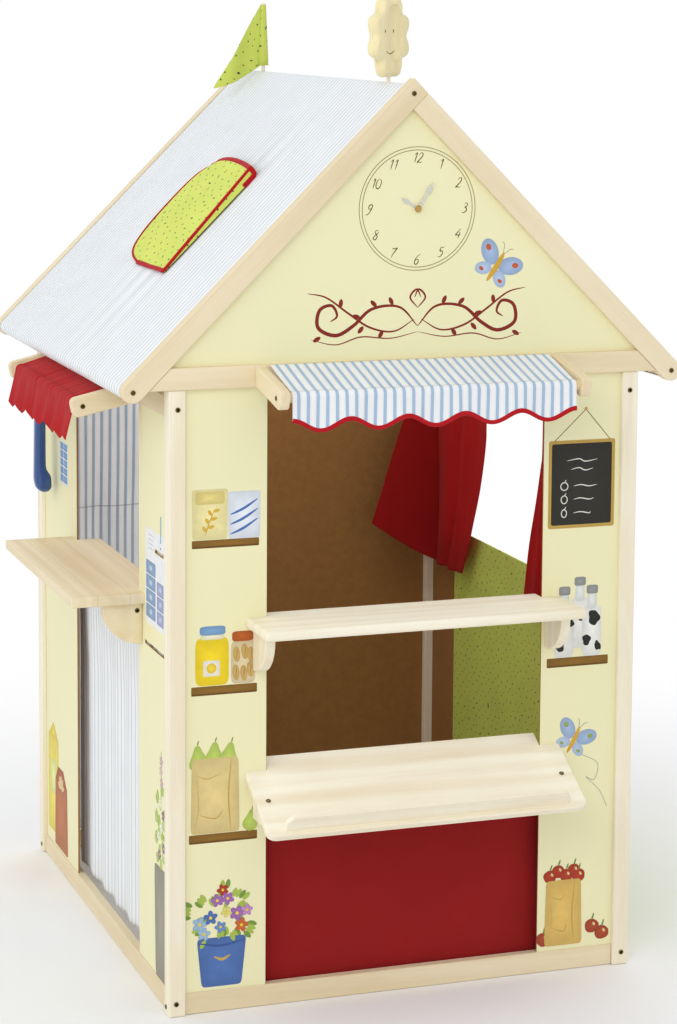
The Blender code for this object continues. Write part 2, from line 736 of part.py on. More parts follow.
def add_awning_cloth(house, name, wall, ends, shape):
    """The cloth between the arms, from the wall over the bar, with its waved edge."""
    low, high = ends
    start = low.x + AWNING_SIDE_GAP
    run = high.x - AWNING_SIDE_GAP - start
    root = shape["top"] - CLOTH - low.z - AWNING_BAR_RADIUS
    waves = run / shape["wave"]

    def path(u):
        drop = shape["drop"] - WAVE_DEPTH * math.cos(2 * math.pi * waves * u)
        return awning_path(root, shape["to_bar"] - FIT - CLOTH, drop, shape["flare"])

    def place(u, point):
        return wall @ Vector((start + run * u, low.y - point.x, low.z + point.y))

    bm = bmesh.new()
    sheet_into(bm, path, round(waves * shape["steps"]), place)
    add_object("awning_cloth_" + name, bm, shape["cloth"], house)


def bracket_outline():
    """Bracket as (out, up) from its upper root corner: short lip, then a quarter of an ellipse."""
    fall = BRACKET_HEIGHT - BRACKET_LIP
    curve = []
    for i in range(9):
        angle = math.pi / 2 * i / 8
        curve.append((BRACKET_DEPTH * math.cos(angle), -BRACKET_LIP - fall * math.sin(angle)))
    return [(0, 0), (BRACKET_DEPTH, 0), *curve]


def add_brackets(house, name, wall, places, foot):
    """A bracket at each end of a board."""
    outline = [(u, w + foot - FIT) for u, w in bracket_outline()]
    for label, along in places:
        add_plates(house, f"{name}_bracket_{label}", outline, (along,), wall)


def notched_board(house, name, mat, wall, low, high, opening):
    """A board across an opening that goes round the panels at both sides of it."""
    middle = (Vector(low) + Vector(high)) / 2
    bm = bmesh.new()
    box_into(bm, Vector(low) - middle, Vector(high) - middle)
    obj = chamfer(add_object(name, bm, mat, house, wall @ middle, (0, 0, wall.to_euler().z)))
    past = high[2] - low[2]
    left = ((low[0] - past, -FIT, low[2] - past), (opening[0] + OPENING_GAP, high[1] + past, high[2] + past))
    right = ((opening[1] - OPENING_GAP, -FIT, low[2] - past),
             (high[0] + past, high[1] + past, high[2] + past))
    for ends in (left, right):
        cut(name, lambda bm, ends=ends: box_into(bm, *ends, wall))
    return obj


def add_shelf(house):
    """The upper shelf of the shop front, with a rounded nose, on its brackets."""
    wall = wall_matrix(0.0, PANEL_FRONT)
    half = FRONT_OPENING / 2 + BOARD_OVERLAP
    foot = SHELF_TOP - SHELF_THICKNESS
    shelf = notched_board(house, "shelf_board", "post_wood", wall, (-half, -SHELF_REACH - PANEL_RECESS, foot),
                          (half, SHELF_INSIDE, SHELF_TOP), (-FRONT_OPENING / 2, FRONT_OPENING / 2))
    shelf.modifiers["edge"].width = SHELF_NOSE
    shelf.modifiers["edge"].segments = 3
    add_brackets(house, "shelf", wall, (("left", -SUPPORT_X), ("right", SUPPORT_X)), foot)


def add_counter(house):
    """The counter board of the left side on its two brackets."""
    wall = wall_matrix(-math.pi / 2, PANEL_SIDE)
    foot = COUNTER_TOP - COUNTER_THICKNESS
    notched_board(house, "counter_board", "pale_wood", wall,
                  (-SIDE_BACK - BOARD_OVERLAP, -COUNTER_REACH - PANEL_RECESS, foot),
                  (-SIDE_FRONT + BOARD_OVERLAP, COUNTER_INSIDE, COUNTER_TOP), (-SIDE_BACK, -SIDE_FRONT))
    add_brackets(house, "counter", wall, (("back", -SUPPORT_YS[1]), ("front", -SUPPORT_YS[0])), foot)


def tray_matrix():
    """Frame of the tray's upper face: X across, Y up the slope into the house, Z out of it."""
    start = Matrix.Translation((0, -PANEL_FRONT, TRAY_HEIGHT))
    return start @ Matrix.Rotation(TRAY_TILT, 4, "X")


def add_tray(house):
    """The sloping display tray, notched round the panels, with its lip and two props."""
    half = FRONT_OPENING / 2 + BOARD_OVERLAP
    slope = tray_matrix()
    corner = -TRAY_LENGTH + TRAY_CORNER
    outline = [(half, TRAY_INSIDE), (-half, TRAY_INSIDE)]
    outline += arc((-half + TRAY_CORNER, corner), TRAY_CORNER, math.pi, 1.5 * math.pi, 4)
    outline += arc((half - TRAY_CORNER, corner), TRAY_CORNER, 1.5 * math.pi, 2 * math.pi, 4)
    bm = bmesh.new()
    prism_into(bm, outline, -TRAY_THICKNESS, 0, level)
    tray = chamfer(add_object("tray_board", bm, "post_wood", house, slope.translation, (TRAY_TILT, 0, 0)))
    past = 2 * TRAY_INSIDE
    for sign in (-1, 1):
        low, high = sorted((sign * (FRONT_OPENING / 2 - OPENING_GAP), sign * (half + past)))
        cut_box(("tray_board",), (low, -PANEL_FRONT, TRAY_HEIGHT - past),
                (high, -PANEL_FRONT + past, TRAY_HEIGHT + past))
    add_tray_lip(tray, house, slope, half)
    add_tray_props(house)


def add_tray_lip(tray, house, slope, half):
    """The strip glued on the tray, with its upper corners cut off, that keeps goods on it."""
    end = half - LIP_SHORTER
    head = end - LIP_CORNER
    side = LIP_HEIGHT - LIP_CORNER
    outline = [(-end, -EDGE), (end, -EDGE), (end, side), (head, LIP_HEIGHT),
               (-head, LIP_HEIGHT), (-end, side)]
    front = -TRAY_LENGTH + LIP_SETBACK
    bm = bmesh.new()
    prism_into(bm, outline, front, front + LIP_THICKNESS)
    bmesh.ops.transform(bm, matrix=slope, verts=bm.verts)
    add_boolean(tray, bm, "join_tray_lip", "UNION", house)


def add_tray_props(house):
    """Wedges that hold the tray off the panels."""
    wall = wall_matrix(0.0, PANEL_FRONT)
    fall = math.tan(TRAY_TILT)
    root = TRAY_HEIGHT - (TRAY_THICKNESS + FIT) / math.cos(TRAY_TILT) - FIT * fall
    tip = root - PROP_DEPTH * fall
    outline = [(0, root), (PROP_DEPTH, tip), (PROP_DEPTH, tip - PROP_LIP),
               (PROP_DEPTH / 2, root - PROP_HEIGHT), (0, root - PROP_HEIGHT)]
    for label, x in (("left", -SUPPORT_X), ("right", SUPPORT_X)):
        add_plates(house, "tray_prop_" + label, outline, (x,), wall)


def add_rods(house):
    """The dowels that carry the cloths, seated in shallow holes of the posts."""
    across = HALF_WIDTH - POST + ROD_SEAT
    along = HALF_DEPTH - POST + ROD_SEAT
    rods = (("front", (0, -ROD_LINE_Y, FRONT_ROD_HEIGHT), (across, 0, 0), ("front_left", "front_right")),
            ("door", (0, ROD_LINE_Y, DOOR_ROD_HEIGHT), (across, 0, 0), ("back_left", "back_right")),
            ("side", (-ROD_LINE_X, 0, SIDE_ROD_HEIGHT), (0, along, 0), ("front_left", "back_left")),
            ("stage", (ROD_LINE_X, 0, STAGE_ROD_HEIGHT), (0, along, 0), ("front_right", "back_right")))
    for name, middle, reach, corners in rods:
        low = Vector(middle) - Vector(reach)
        high = Vector(middle) + Vector(reach)
        bm = bmesh.new()
        rod_into(bm, -Vector(reach), reach, ROD_RADIUS, 8)
        add_object(f"{name}_rod", bm, "pale_wood", house, middle)
        cut_rod(["post_" + corner for corner in corners], low, high, ROD_RADIUS)


def hanging_path(drop, fold, phase):
    """Side view of a cloth on its dowel as (into the house, up): hem, sleeve and waved fall."""
    radius = wrap(ROD_RADIUS, math.pi, 5)
    over = arc((0, 0), radius, math.pi, 0, 5)
    points = [Vector((-radius, -SLEEVE_HEM)), *over]
    depth = fold * (0.5 - 0.5 * math.cos(2 * math.pi * phase))
    for share, fall in ((0.4, 0.12), (1.0, 0.45), (1.0, 1.0)):
        points.append(Vector((radius + depth * share, -drop * fall)))
    return with_normals(points)


def add_hanging_cloth(name, mat, pivot, ends, drop, fold, folds, steps=5):
    """A cloth with even folds that hangs from a dowel along the local X of its pivot."""
    low, high = ends
    bm = bmesh.new()
    sheet_into(bm, lambda u: hanging_path(drop, fold, folds * u), folds * steps,
               lambda u, p: (low + (high - low) * u, p.x, p.y))
    return add_object(name, bm, mat, pivot)


def add_hangings(house):
    """Cloth below the tray, below the counter and in the doorway."""
    half = HALF_WIDTH - POST - CURTAIN_END_GAP
    front = add_pivot("front_cloth_rod", (0, -ROD_LINE_Y, FRONT_ROD_HEIGHT), house)
    add_hanging_cloth("front_cloth", "red_cloth", front, (-half, half),
                      FRONT_ROD_HEIGHT - FRONT_HEM, 0.004, 3)
    side = add_pivot("side_cloth_rod", (-ROD_LINE_X, 0, SIDE_ROD_HEIGHT), house)
    side.rotation_euler = (0, 0, -math.pi / 2)
    ends = (-SIDE_BACK - HANGING_OVERLAP, -SIDE_FRONT + HANGING_OVERLAP)
    add_hanging_cloth("side_cloth", "pinstripe_cloth", side, ends, SIDE_ROD_HEIGHT - SIDE_HEM, 0.006, 5)
    door = add_pivot("door_curtain_rod", (0, ROD_LINE_Y, DOOR_ROD_HEIGHT), house)
    door.rotation_euler = (0, 0, math.pi)
    ends = (-DOOR_EDGE - HANGING_OVERLAP, half)
    add_hanging_cloth("door_curtain", "striped_cloth", door, ends, DOOR_ROD_HEIGHT - DOOR_HEM, 0.010, 6)


def add_stage_curtains(house):
    """Two gathered curtains inside the stage opening, drawn apart along their dowel."""
    drop = STAGE_ROD_HEIGHT - CURTAIN_FOOT
    for name, start, sign in zip(("front", "back"), CURTAIN_STARTS, (1, -1)):
        pivot = add_pivot("stage_slide_" + name, (ROD_LINE_X, start, STAGE_ROD_HEIGHT), house)
        pivot.rotation_euler = (0, 0, math.pi / 2)
        ends = sorted((0, sign * CURTAIN_WIDTH))
        add_hanging_cloth("stage_curtain_" + name, "red_cloth", pivot, ends, drop,
                          CURTAIN_FOLD, CURTAIN_FOLDS)


def add_stage_cloth(house):
    """The taut cloth below the stage, on the outer faces of the panels, with a folded hem."""
    half = STAGE_OPENING / 2 + STAGE_CLOTH_OVERLAP
    near = PANEL_SIDE + FIT + CLOTH / 2
    fold = CLOTH / 2 + FIT
    top = STAGE_CLOTH_TOP - fold
    over = arc((near + fold, top), fold, math.pi, 0, 4)
    rows = with_normals([Vector((near, STAGE_CLOTH_FOOT)), *over,
                         Vector((near + 2 * fold, top - STAGE_BAND))])
    bm = bmesh.new()
    sheet_into(bm, lambda u: rows, 1, lambda u, p: (p.x, half * (2 * u - 1), p.y))
    add_object("stage_cloth", bm, "lime_cloth", house)


def hand_outline(length):
    """A clock hand along +Z: round boss, waist and leaf-shaped blade."""
    gap = math.radians(30)
    boss = arc((0, 0), 2 * SPINDLE_RADIUS, math.pi / 2 + gap, 2.5 * math.pi - gap, 10)
    waist = HAND_WIDTH / 5
    leaf = HAND_WIDTH / 2
    return boss + [Vector((waist, 0.5 * length)), Vector((leaf, 0.7 * length)), Vector((0, length)),
                   Vector((-leaf, 0.7 * length)), Vector((-waist, 0.5 * length))]


def add_clock(house):
    """Two hands on a spindle through the front gable."""
    half = HAND_THICKNESS / 2
    front = -PANEL_FRONT
    for name, length, angle in (("clock_hour_hand", HOUR_HAND, HOUR_ANGLE),
                                ("clock_minute_hand", MINUTE_HAND, MINUTE_ANGLE)):
        front -= FIT + HAND_THICKNESS
        axis = (CLOCK_X, front + half, CLOCK_Z)
        pivot = add_pivot(name + "_axis", axis, house)
        bm = bmesh.new()
        prism_into(bm, hand_outline(length), -half, half)
        add_object(name, bm, "white_plastic", pivot, (0, 0, 0), (0, angle, 0))
        cut_rod((name,), (CLOCK_X, front - half, CLOCK_Z), (CLOCK_X, front + 3 * half, CLOCK_Z),
                SPINDLE_RADIUS)
    cut_rod(("gable_front",), (CLOCK_X, -PANEL_FRONT - half, CLOCK_Z),
            (CLOCK_X, -PANEL_FRONT + PANEL_THICKNESS + half, CLOCK_Z), SPINDLE_RADIUS)
    add_spindle(house, front)


def add_spindle(house, hands_front):
    """Spindle with a washer inside the gable and a nut outside the hands."""
    back = -PANEL_FRONT + PANEL_THICKNESS + FIT
    nut = hands_front - FIT
    washer = 2 * HAND_THICKNESS
    start = back + washer
    length = start - nut + SPINDLE_NUT_LENGTH
    profile = [(0, 0), (SPINDLE_NUT_RADIUS, 0), (SPINDLE_NUT_RADIUS, washer), (SPINDLE_RADIUS, washer),
               (SPINDLE_RADIUS, start - nut), (SPINDLE_NUT_RADIUS, start - nut),
               (SPINDLE_NUT_RADIUS * 0.7, length), (0, length)]
    bm = bmesh.new()
    lathe_into(bm, profile, aim((0, 0, 0), (0, -1, 0)))
    add_object("clock_spindle", bm, "brass", house, (CLOCK_X, start, CLOCK_Z))


def handset_outline():
    """Handset from the side as (out from the wall, up from its foot)."""
    grip = HANDSET_DEPTH - HANDSET_GRIP
    top = HANDSET_LENGTH
    corner = HANDSET_GRIP * 0.6
    outer = [(HANDSET_DEPTH - corner, 0), (HANDSET_DEPTH, corner)]
    upper = [(u, top - w) for u, w in reversed(outer)]
    inner = [(0, top), (0, top - HANDSET_SEAT), (HANDSET_CUP_RIM, top - HANDSET_SEAT),
             (grip, top - HANDSET_CUP)]
    lower = [(u, top - w) for u, w in reversed(inner)]
    return outer + upper + inner + lower


def add_handset(house):
    """The telephone handset that hangs on a hook beside the counter."""
    wall = wall_matrix(-math.pi / 2, PANEL_SIDE)
    foot = HANDSET_TOP - HANDSET_LENGTH
    pivot = add_pivot("handset_lift", wall @ Vector((-HANDSET_Y, -HANDSET_WALL_GAP, foot)), house)
    half = HANDSET_WIDTH / 2
    bm = bmesh.new()
    prism_into(bm, handset_outline(), -half, half, lambda u, w, depth: (-u, depth, w))
    chamfer(add_object("handset", bm, "blue_plastic", pivot), 2 * EDGE, 2)
    add_hook(house, wall @ Matrix.Translation((-HANDSET_Y, 0, HANDSET_TOP - HANDSET_SEAT)))


def add_hook(house, seat):
    """The hook: a plate on the panel, an arm under the upper cup and a pin up into it."""
    bm = bmesh.new()
    box_into(bm, (-HOOK_WIDTH / 2, -FIT - HOOK_PLATE, -HOOK_HEIGHT), (HOOK_WIDTH / 2, -FIT, 0), seat)
    hook = add_object("handset_hook", bm, "bronze", house)
    arm = bmesh.new()
    reach = HOOK_PIN_OUT + 1.5 * HOOK_PIN_RADIUS
    box_into(arm, (-HOOK_ARM / 2, -reach, -FIT - HOOK_ARM),
             (HOOK_ARM / 2, -FIT - HOOK_PLATE / 2, -FIT), seat)
    add_boolean(hook, arm, "join_hook_arm", "UNION", house)
    tip = seat @ Vector((0, -HOOK_PIN_OUT, HOOK_PIN_HEIGHT))
    pin = bmesh.new()
    rod_into(pin, seat @ Vector((0, -HOOK_PIN_OUT, -HOOK_ARM / 2)), tip, HOOK_PIN_RADIUS, 8)
    add_boolean(hook, pin, "join_hook_pin", "UNION", house)
    cut_rod(("handset",), seat @ Vector((0, -HOOK_PIN_OUT, -HOOK_ARM)), tip, HOOK_PIN_RADIUS)


def sun_outline(middle):
    """The sun's waved rim, its two lowest rays joined to a flat foot where the peg enters."""
    points = []
    for i in range(SUN_RAYS * 6):
        angle = 2 * math.pi * i / (SUN_RAYS * 6)
        flat = SUN_FOOT / max(-math.sin(angle), 0.2)
        radius = min(SUN_RADIUS - SUN_RAY * math.cos(SUN_RAYS * angle), flat)
        if abs(angle - 1.5 * math.pi) < SUN_FOOT_ANGLE:
            radius = flat
        points.append((radius * math.cos(angle), middle + radius * math.sin(angle)))
    return points


def add_sun(house):
    """A carved sun on a peg that turns in the ridge bar."""
    foot = RIDGE_TOP + SPIKE_SHOW - SPIKE_FOOT
    middle = foot + SUN_FOOT
    half = SUN_THICKNESS / 2
    pivot = add_pivot("sun_axis", (0, SUN_Y, SPIKE_FOOT), house)
    pivot.rotation_euler = (0, 0, SUN_TURN)
    bm = bmesh.new()
    prism_into(bm, sun_outline(middle), -half, half)
    sun = add_object("sun", bm, "pale_wood", pivot)
    peg = bmesh.new()
    rod_into(peg, (0, 0, 0), (0, 0, foot + SUN_PEG_DEPTH), SPIKE_RADIUS, 10)
    add_boolean(sun, peg, "join_sun_peg", "UNION", pivot)
    faces = bmesh.new()
    for sign in (-1, 1):
        rod_into(faces, (0, sign * (half - SUN_FACE_DEPTH), middle),
                 (0, sign * (half + SUN_FACE_DEPTH), middle), SUN_FACE_RADIUS, 24)
    add_boolean(sun, faces, "cut_sun_faces", "DIFFERENCE", pivot)
    cut_spike_seat(SUN_Y)


def cut_spike_seat(y):
    """The hole of an ornament's peg in the ridge bar and the roof cloth."""
    cut_rod(("ridge_bar", "roof_cloth"), (0, y, SPIKE_FOOT), (0, y, RIDGE_TOP + BAR_RADIUS), SPIKE_RADIUS)


def add_pennant(house):
    """A three-cornered flag sewn round its peg, drooping over the left slope."""
    hem = RIDGE_TOP + PENNANT_SHOW - SPIKE_FOOT
    head = hem + PENNANT_HEIGHT
    pivot = add_pivot("pennant_axis", (0, PENNANT_Y, SPIKE_FOOT), house)
    pivot.rotation_euler = (0, 0, PENNANT_TURN)
    radius = SPIKE_RADIUS + CLOTH / 4
    loop = arc((0, 0), radius, 1.5 * math.pi, math.radians(10), 7)
    tail = [Vector((radius, t * PENNANT_LENGTH)) for t in (0.25, 0.5, 0.75, 1.0)]
    rows = with_normals(loop + tail)

    def place(u, point):
        run = max(0.0, point.y) / PENNANT_LENGTH
        upper = head + (hem - PENNANT_DROOP + PENNANT_TIP / 2 - head) * run
        lower = hem - (PENNANT_DROOP + PENNANT_TIP / 2) * run
        return (point.x, point.y, lower + (upper - lower) * u)

    bm = bmesh.new()
    sheet_into(bm, lambda u: rows, 5, place)
    pennant = add_object("pennant", bm, "lime_cloth", pivot)
    peg = bmesh.new()
    rod_into(peg, (0, 0, 0), (0, 0, head + SPIKE_RADIUS), SPIKE_RADIUS, 10)
    add_boolean(pennant, peg, "join_pennant_peg", "UNION", pivot)
    cut_spike_seat(PENNANT_Y)


def box_offset():
    """Shift from the house's middle to the middle of the object's box."""
    right = EAVE_X + RAFTER_WIDTH / 2
    left = ARM_RAIL_FACE + SIDE_ARM_TO_BAR + AWNING_BAR_RADIUS + 2 * FIT + CLOTH + VALANCE_FLARE
    front = ARM_TIE_FACE + FIT + max(u for u, w in arm_outline(FRONT_ARM_TO_BAR, FRONT_ARM_TILT))
    back = HALF_DEPTH + RAFTER_PROUD
    return ((left - right) / 2, (front - back) / 2, 0)


def build():
    """Clears the scene and makes the whole object."""
    for obj in list(bpy.data.objects):
        bpy.data.objects.remove(obj)
    make_finishes()
    house = add_pivot("house", box_offset(), None)
    add_posts(house)
    add_rails(house)
    add_truss(house, "front", -1)
    add_truss(house, "back", 1)
    add_front_panels(house)
    add_side_panels(house)
    cut_coin_slots()
    add_roof_bars(house)
    add_roof_cloth(house)
    add_roof_flap(house)
    add_front_awning(house)
    add_side_awning(house)
    add_shelf(house)
    add_tray(house)
    add_counter(house)
    add_rods(house)
    add_hangings(house)
    add_stage_curtains(house)
    add_stage_cloth(house)
    add_clock(house)
    add_handset(house)
    add_sun(house)
    add_pennant(house)
    apply_cuts(house)
    bpy.context.view_layer.update()


build()
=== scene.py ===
"""Looks of a play shop with a serving counter and a puppet stage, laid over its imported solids."""
import json
import math

import bpy
import numpy as np
from mathutils import Matrix, Vector


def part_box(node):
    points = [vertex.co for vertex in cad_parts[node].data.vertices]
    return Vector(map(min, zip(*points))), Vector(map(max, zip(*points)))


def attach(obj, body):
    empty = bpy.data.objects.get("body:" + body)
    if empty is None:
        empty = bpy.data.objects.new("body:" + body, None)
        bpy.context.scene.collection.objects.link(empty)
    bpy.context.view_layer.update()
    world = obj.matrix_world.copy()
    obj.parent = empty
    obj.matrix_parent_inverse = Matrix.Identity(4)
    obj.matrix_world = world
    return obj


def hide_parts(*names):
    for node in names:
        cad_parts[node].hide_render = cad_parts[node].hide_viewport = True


bl_info = {
    "name": "Play shop",
    "version": (1, 0, 0),
    "blender": (4, 5, 0),
    "location": "View3D > Sidebar > Play shop",
    "description": "Dresses a wooden play shop with cloths, screws, a clock dial and painted panels",
    "category": "Object",
}

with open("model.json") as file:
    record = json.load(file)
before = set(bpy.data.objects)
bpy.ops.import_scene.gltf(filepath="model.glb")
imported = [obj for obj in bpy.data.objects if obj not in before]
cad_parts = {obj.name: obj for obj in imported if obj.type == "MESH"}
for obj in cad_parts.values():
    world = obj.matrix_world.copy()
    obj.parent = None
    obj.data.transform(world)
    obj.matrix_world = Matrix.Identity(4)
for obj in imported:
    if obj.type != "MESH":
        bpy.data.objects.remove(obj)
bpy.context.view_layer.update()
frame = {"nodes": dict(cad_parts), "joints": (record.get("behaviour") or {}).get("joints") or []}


def corner(node, side):
    """Lowest (0) or highest (1) corner of a solid as an array."""
    return np.array(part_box(node)[side])


def shade(red, green, blue):
    """Scene-linear colour of a screen colour given from 0 to 255."""
    share = np.array((red, green, blue)) / 255
    return tuple(np.where(share <= 0.04045, share / 12.92, ((share + 0.055) / 1.055) ** 2.4).tolist())


FRONT_LEFT = corner("post_front_left", 0)
BACK_RIGHT = corner("post_back_right", 1)
MIDDLE_X, MIDDLE_Y = ((FRONT_LEFT + BACK_RIGHT) / 2)[:2]
HALF_WIDTH, HALF_DEPTH = ((BACK_RIGHT - FRONT_LEFT) / 2)[:2]
POST_TOP = BACK_RIGHT[2]


# Settings shown in the sidebar

def colour(name, text, value):
    """A colour setting."""
    return bpy.props.FloatVectorProperty(name=name, description=text, default=value, size=3, min=0, max=1,
                                         subtype="COLOR")


def length(name, text, value):
    """A length setting in metres."""
    return bpy.props.FloatProperty(name=name, description=text, default=value, min=0, unit="LENGTH",
                                   precision=4)


class ShopColours(bpy.types.PropertyGroup):
    """Colours of the finishes."""

    pale_wood: colour("Pale wood", "Rails, rafters and counter", shade(236, 222, 190))
    post_wood: colour("Post wood", "Posts, shelf and tray", shade(249, 243, 224))
    panel: colour("Panel", "Painted outside of the wall panels", shade(240, 235, 190))
    hardboard: colour("Hardboard", "Bare inside of the wall panels", shade(156, 111, 60))
    cloth_white: colour("Cloth white", "Ground of the striped cloths", shade(253, 254, 254))
    stripe: colour("Stripe", "Stripes of the awning and the curtain", shade(178, 202, 228))
    pinstripe: colour("Pinstripe", "Thin lines of the roof cloth", shade(216, 226, 233))
    red: colour("Red", "Red cloths", shade(158, 26, 26))
    awning_red: colour("Awning red", "Cloth of the side awning", shade(192, 26, 30))
    binding: colour("Binding", "Bias binding of the edges", shade(190, 22, 32))
    lime: colour("Lime", "Dotted cloths", shade(216, 227, 106))
    dots: colour("Dots", "Dots on the lime cloths", shade(78, 84, 34))
    blue_plastic: colour("Blue plastic", "Handset", shade(32, 73, 136))
    print_line: colour("Print line", "Rings and numerals of the dial", shade(96, 62, 34))


class ShopSizes(bpy.types.PropertyGroup):
    """Sizes of the sewn and printed details."""

    cloth: length("Cloth", "Thickness of the cloths", 0.0011)
    stripe_pitch: length("Stripe pitch", "From stripe to stripe on the awning", 0.0170)
    pinstripe_pitch: length("Pinstripe pitch", "From line to line on the roof cloth", 0.0166)
    binding_width: length("Binding width", "Height of the bound edges", 0.0085)
    dial_radius: length("Dial radius", "Outer ring of the clock dial", 0.107)
    screw_radius: length("Screw radius", "Heads of the frame screws", 0.0045)
    dot_pitch: length("Dot pitch", "From dot to dot on the lime cloths", 0.026)


# Mesh building with whole arrays

def grid_faces(rows, columns, close_rows=False, close_columns=False):
    """Quads between neighbours of a grid whose points are listed row by row."""
    i = np.arange(rows if close_rows else rows - 1)[:, None]
    j = np.arange(columns if close_columns else columns - 1)[None, :]
    down = (i + 1) % rows
    across = (j + 1) % columns
    quads = np.stack((i * columns + j, down * columns + j, down * columns + across, i * columns + across), -1)
    return quads.reshape(-1, 4)


def add_mesh(name, points, faces, finish, body, uv=None, smooth=True, tint=None):
    """Makes an object of points (n, 3) and faces (lists or an array of corners)."""
    mesh = bpy.data.meshes.new(name)
    faces = faces.tolist() if isinstance(faces, np.ndarray) else faces
    mesh.from_pydata(np.asarray(points, float).tolist(), [], faces)
    corners = np.zeros(len(mesh.loops), np.int32)
    mesh.loops.foreach_get("vertex_index", corners)
    if uv is not None:
        layer = mesh.uv_layers.new(name="UVMap")
        layer.data.foreach_set("uv", np.asarray(uv, np.float32)[corners].ravel())
    if tint is not None:
        shades = np.column_stack((tint, np.ones(len(tint)))).astype(np.float32)
        mesh.color_attributes.new("tint", "FLOAT_COLOR", "POINT").data.foreach_set("color", shades.ravel())
    mesh.polygons.foreach_set("use_smooth", np.full(len(mesh.polygons), smooth))
    mesh.materials.append(finish)
    mesh.validate()
    obj = bpy.data.objects.new(name, mesh)
    bpy.context.scene.collection.objects.link(obj)
    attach(obj, body)
    return obj


def cloth_piece(name, points, uv, finish, body, thickness):
    """A sheet from a grid of middle points (rows, columns, 3), thickened to both sides."""
    rows, columns = points.shape[:2]
    obj = add_mesh(name, points.reshape(-1, 3), grid_faces(rows, columns), finish, body, uv.reshape(-1, 2))
    shell = obj.modifiers.new("thickness", "SOLIDIFY")
    shell.thickness = thickness
    shell.offset = 0
    return obj


def closed_rings(rings):
    """Points and faces of a body from rings (count, sides, 3), both ends closed by a fan."""
    count, sides = rings.shape[:2]
    faces = grid_faces(count, sides, close_columns=True).tolist()
    points = np.vstack((rings.reshape(-1, 3), rings[0].mean(0)[None], rings[-1].mean(0)[None]))
    j = np.arange(sides)
    start, end, last = count * sides, count * sides + 1, (count - 1) * sides
    faces += np.stack((np.full(sides, start), j, (j + 1) % sides), -1).tolist()
    faces += np.stack((np.full(sides, end), last + (j + 1) % sides, last + j), -1).tolist()
    return points, faces


def tube(path, radii, sides=10, up=(0.0, 0.0, 1.0)):
    """Points and faces of a round or oval tube: rings of radius (a, b) square to a path (n, 3).

    A ring's point is the path's point plus a cos t times the side vector plus b sin t times the
    upper one, where the side is the tangent crossed with up.
    """
    path = np.asarray(path, float)
    along = np.gradient(path, axis=0)
    along /= np.linalg.norm(along, axis=1)[:, None]
    side = np.cross(along, up)
    side /= np.linalg.norm(side, axis=1)[:, None]
    over = np.cross(side, along)
    turn = np.linspace(0, 2 * math.pi, sides, endpoint=False)
    a, b = (np.broadcast_to(r, len(path))[:, None, None] for r in radii)
    return closed_rings(path[:, None] + a * np.cos(turn)[None, :, None] * side[:, None]
                        + b * np.sin(turn)[None, :, None] * over[:, None])


def merge(parts):
    """Joins several (points, faces) into one."""
    points = np.vstack([part[0] for part in parts])
    faces = []
    start = 0
    for verts, polygons in parts:
        polygons = polygons.tolist() if isinstance(polygons, np.ndarray) else polygons
        faces += [[start + k for k in polygon] for polygon in polygons]
        start += len(verts)
    return points, faces


def lathe(profile, sides=16):
    """Points and faces of a profile of (radius, height) turned about Z."""
    profile = np.asarray(profile, float)
    radius, height = profile[:, :1], profile[:, 1:]
    turn = np.linspace(2 * math.pi, 0, sides, endpoint=False)
    return closed_rings(np.stack((radius * np.cos(turn), radius * np.sin(turn), height + 0 * turn), -1))


def rotate_to(points, direction):
    """Turns points so that +Z goes along a direction."""
    turn = np.array(Vector((0, 0, 1)).rotation_difference(Vector(direction)).to_matrix())
    return points @ turn.T


def ripple(values, seed, count=5, low=1.0, high=6.0):
    """Smooth noise along values from 0 to 1: a sum of sines with seeded waves and phases."""
    random = np.random.default_rng(seed)
    waves = random.uniform(low, high, count)
    phases = random.uniform(0, 2 * math.pi, count)
    values = np.asarray(values, float)[..., None]
    return np.sin(2 * math.pi * waves * values + phases).sum(-1) / count


# Shader node helpers and shared effects

def node(tree, kind, links=None, values=None, **settings):
    """Adds a node, sets its options and values, and links outputs into its inputs."""
    made = tree.nodes.new(kind)
    for key, value in settings.items():
        setattr(made, key, value)
    for key, value in (values or {}).items():
        made.inputs[key].default_value = value
    for key, source in (links or {}).items():
        tree.links.new(source, made.inputs[key])
    return made


def start_group(name, inputs, outputs):
    """A node group with (name, kind, default) inputs and (name, kind) outputs.

    Gives its tree, the sockets that it reads and the sockets that it fills.
    """
    tree = bpy.data.node_groups.new(name, "ShaderNodeTree")
    for label, kind, value in inputs:
        socket = tree.interface.new_socket(label, in_out="INPUT", socket_type=kind)
        if value is not None:
            socket.default_value = value
    for label, kind in outputs:
        tree.interface.new_socket(label, in_out="OUTPUT", socket_type=kind)
    return tree, node(tree, "NodeGroupInput").outputs, node(tree, "NodeGroupOutput").inputs


FLOAT, VECTOR = "NodeSocketFloat", "NodeSocketVector"


def fill(tree, made, items):
    """Sets a node's inputs in order, each from a socket or a constant."""
    for socket, item in zip(made.inputs, items):
        if isinstance(item, bpy.types.NodeSocket):
            tree.links.new(item, socket)
        else:
            socket.default_value = item


def math_node(tree, operation, *items, clamp=False):
    """A maths node on sockets or numbers; gives its output."""
    made = node(tree, "ShaderNodeMath", operation=operation, use_clamp=clamp)
    fill(tree, made, items)
    return made.outputs[0]


def vector_node(tree, operation, *items):
    """A vector maths node on sockets or tuples; gives its vector."""
    made = node(tree, "ShaderNodeVectorMath", operation=operation)
    fill(tree, made, items)
    return made.outputs["Vector"]


def distance(tree, vector):
    """Length of a vector."""
    return node(tree, "ShaderNodeVectorMath", {0: vector}, operation="LENGTH").outputs["Value"]


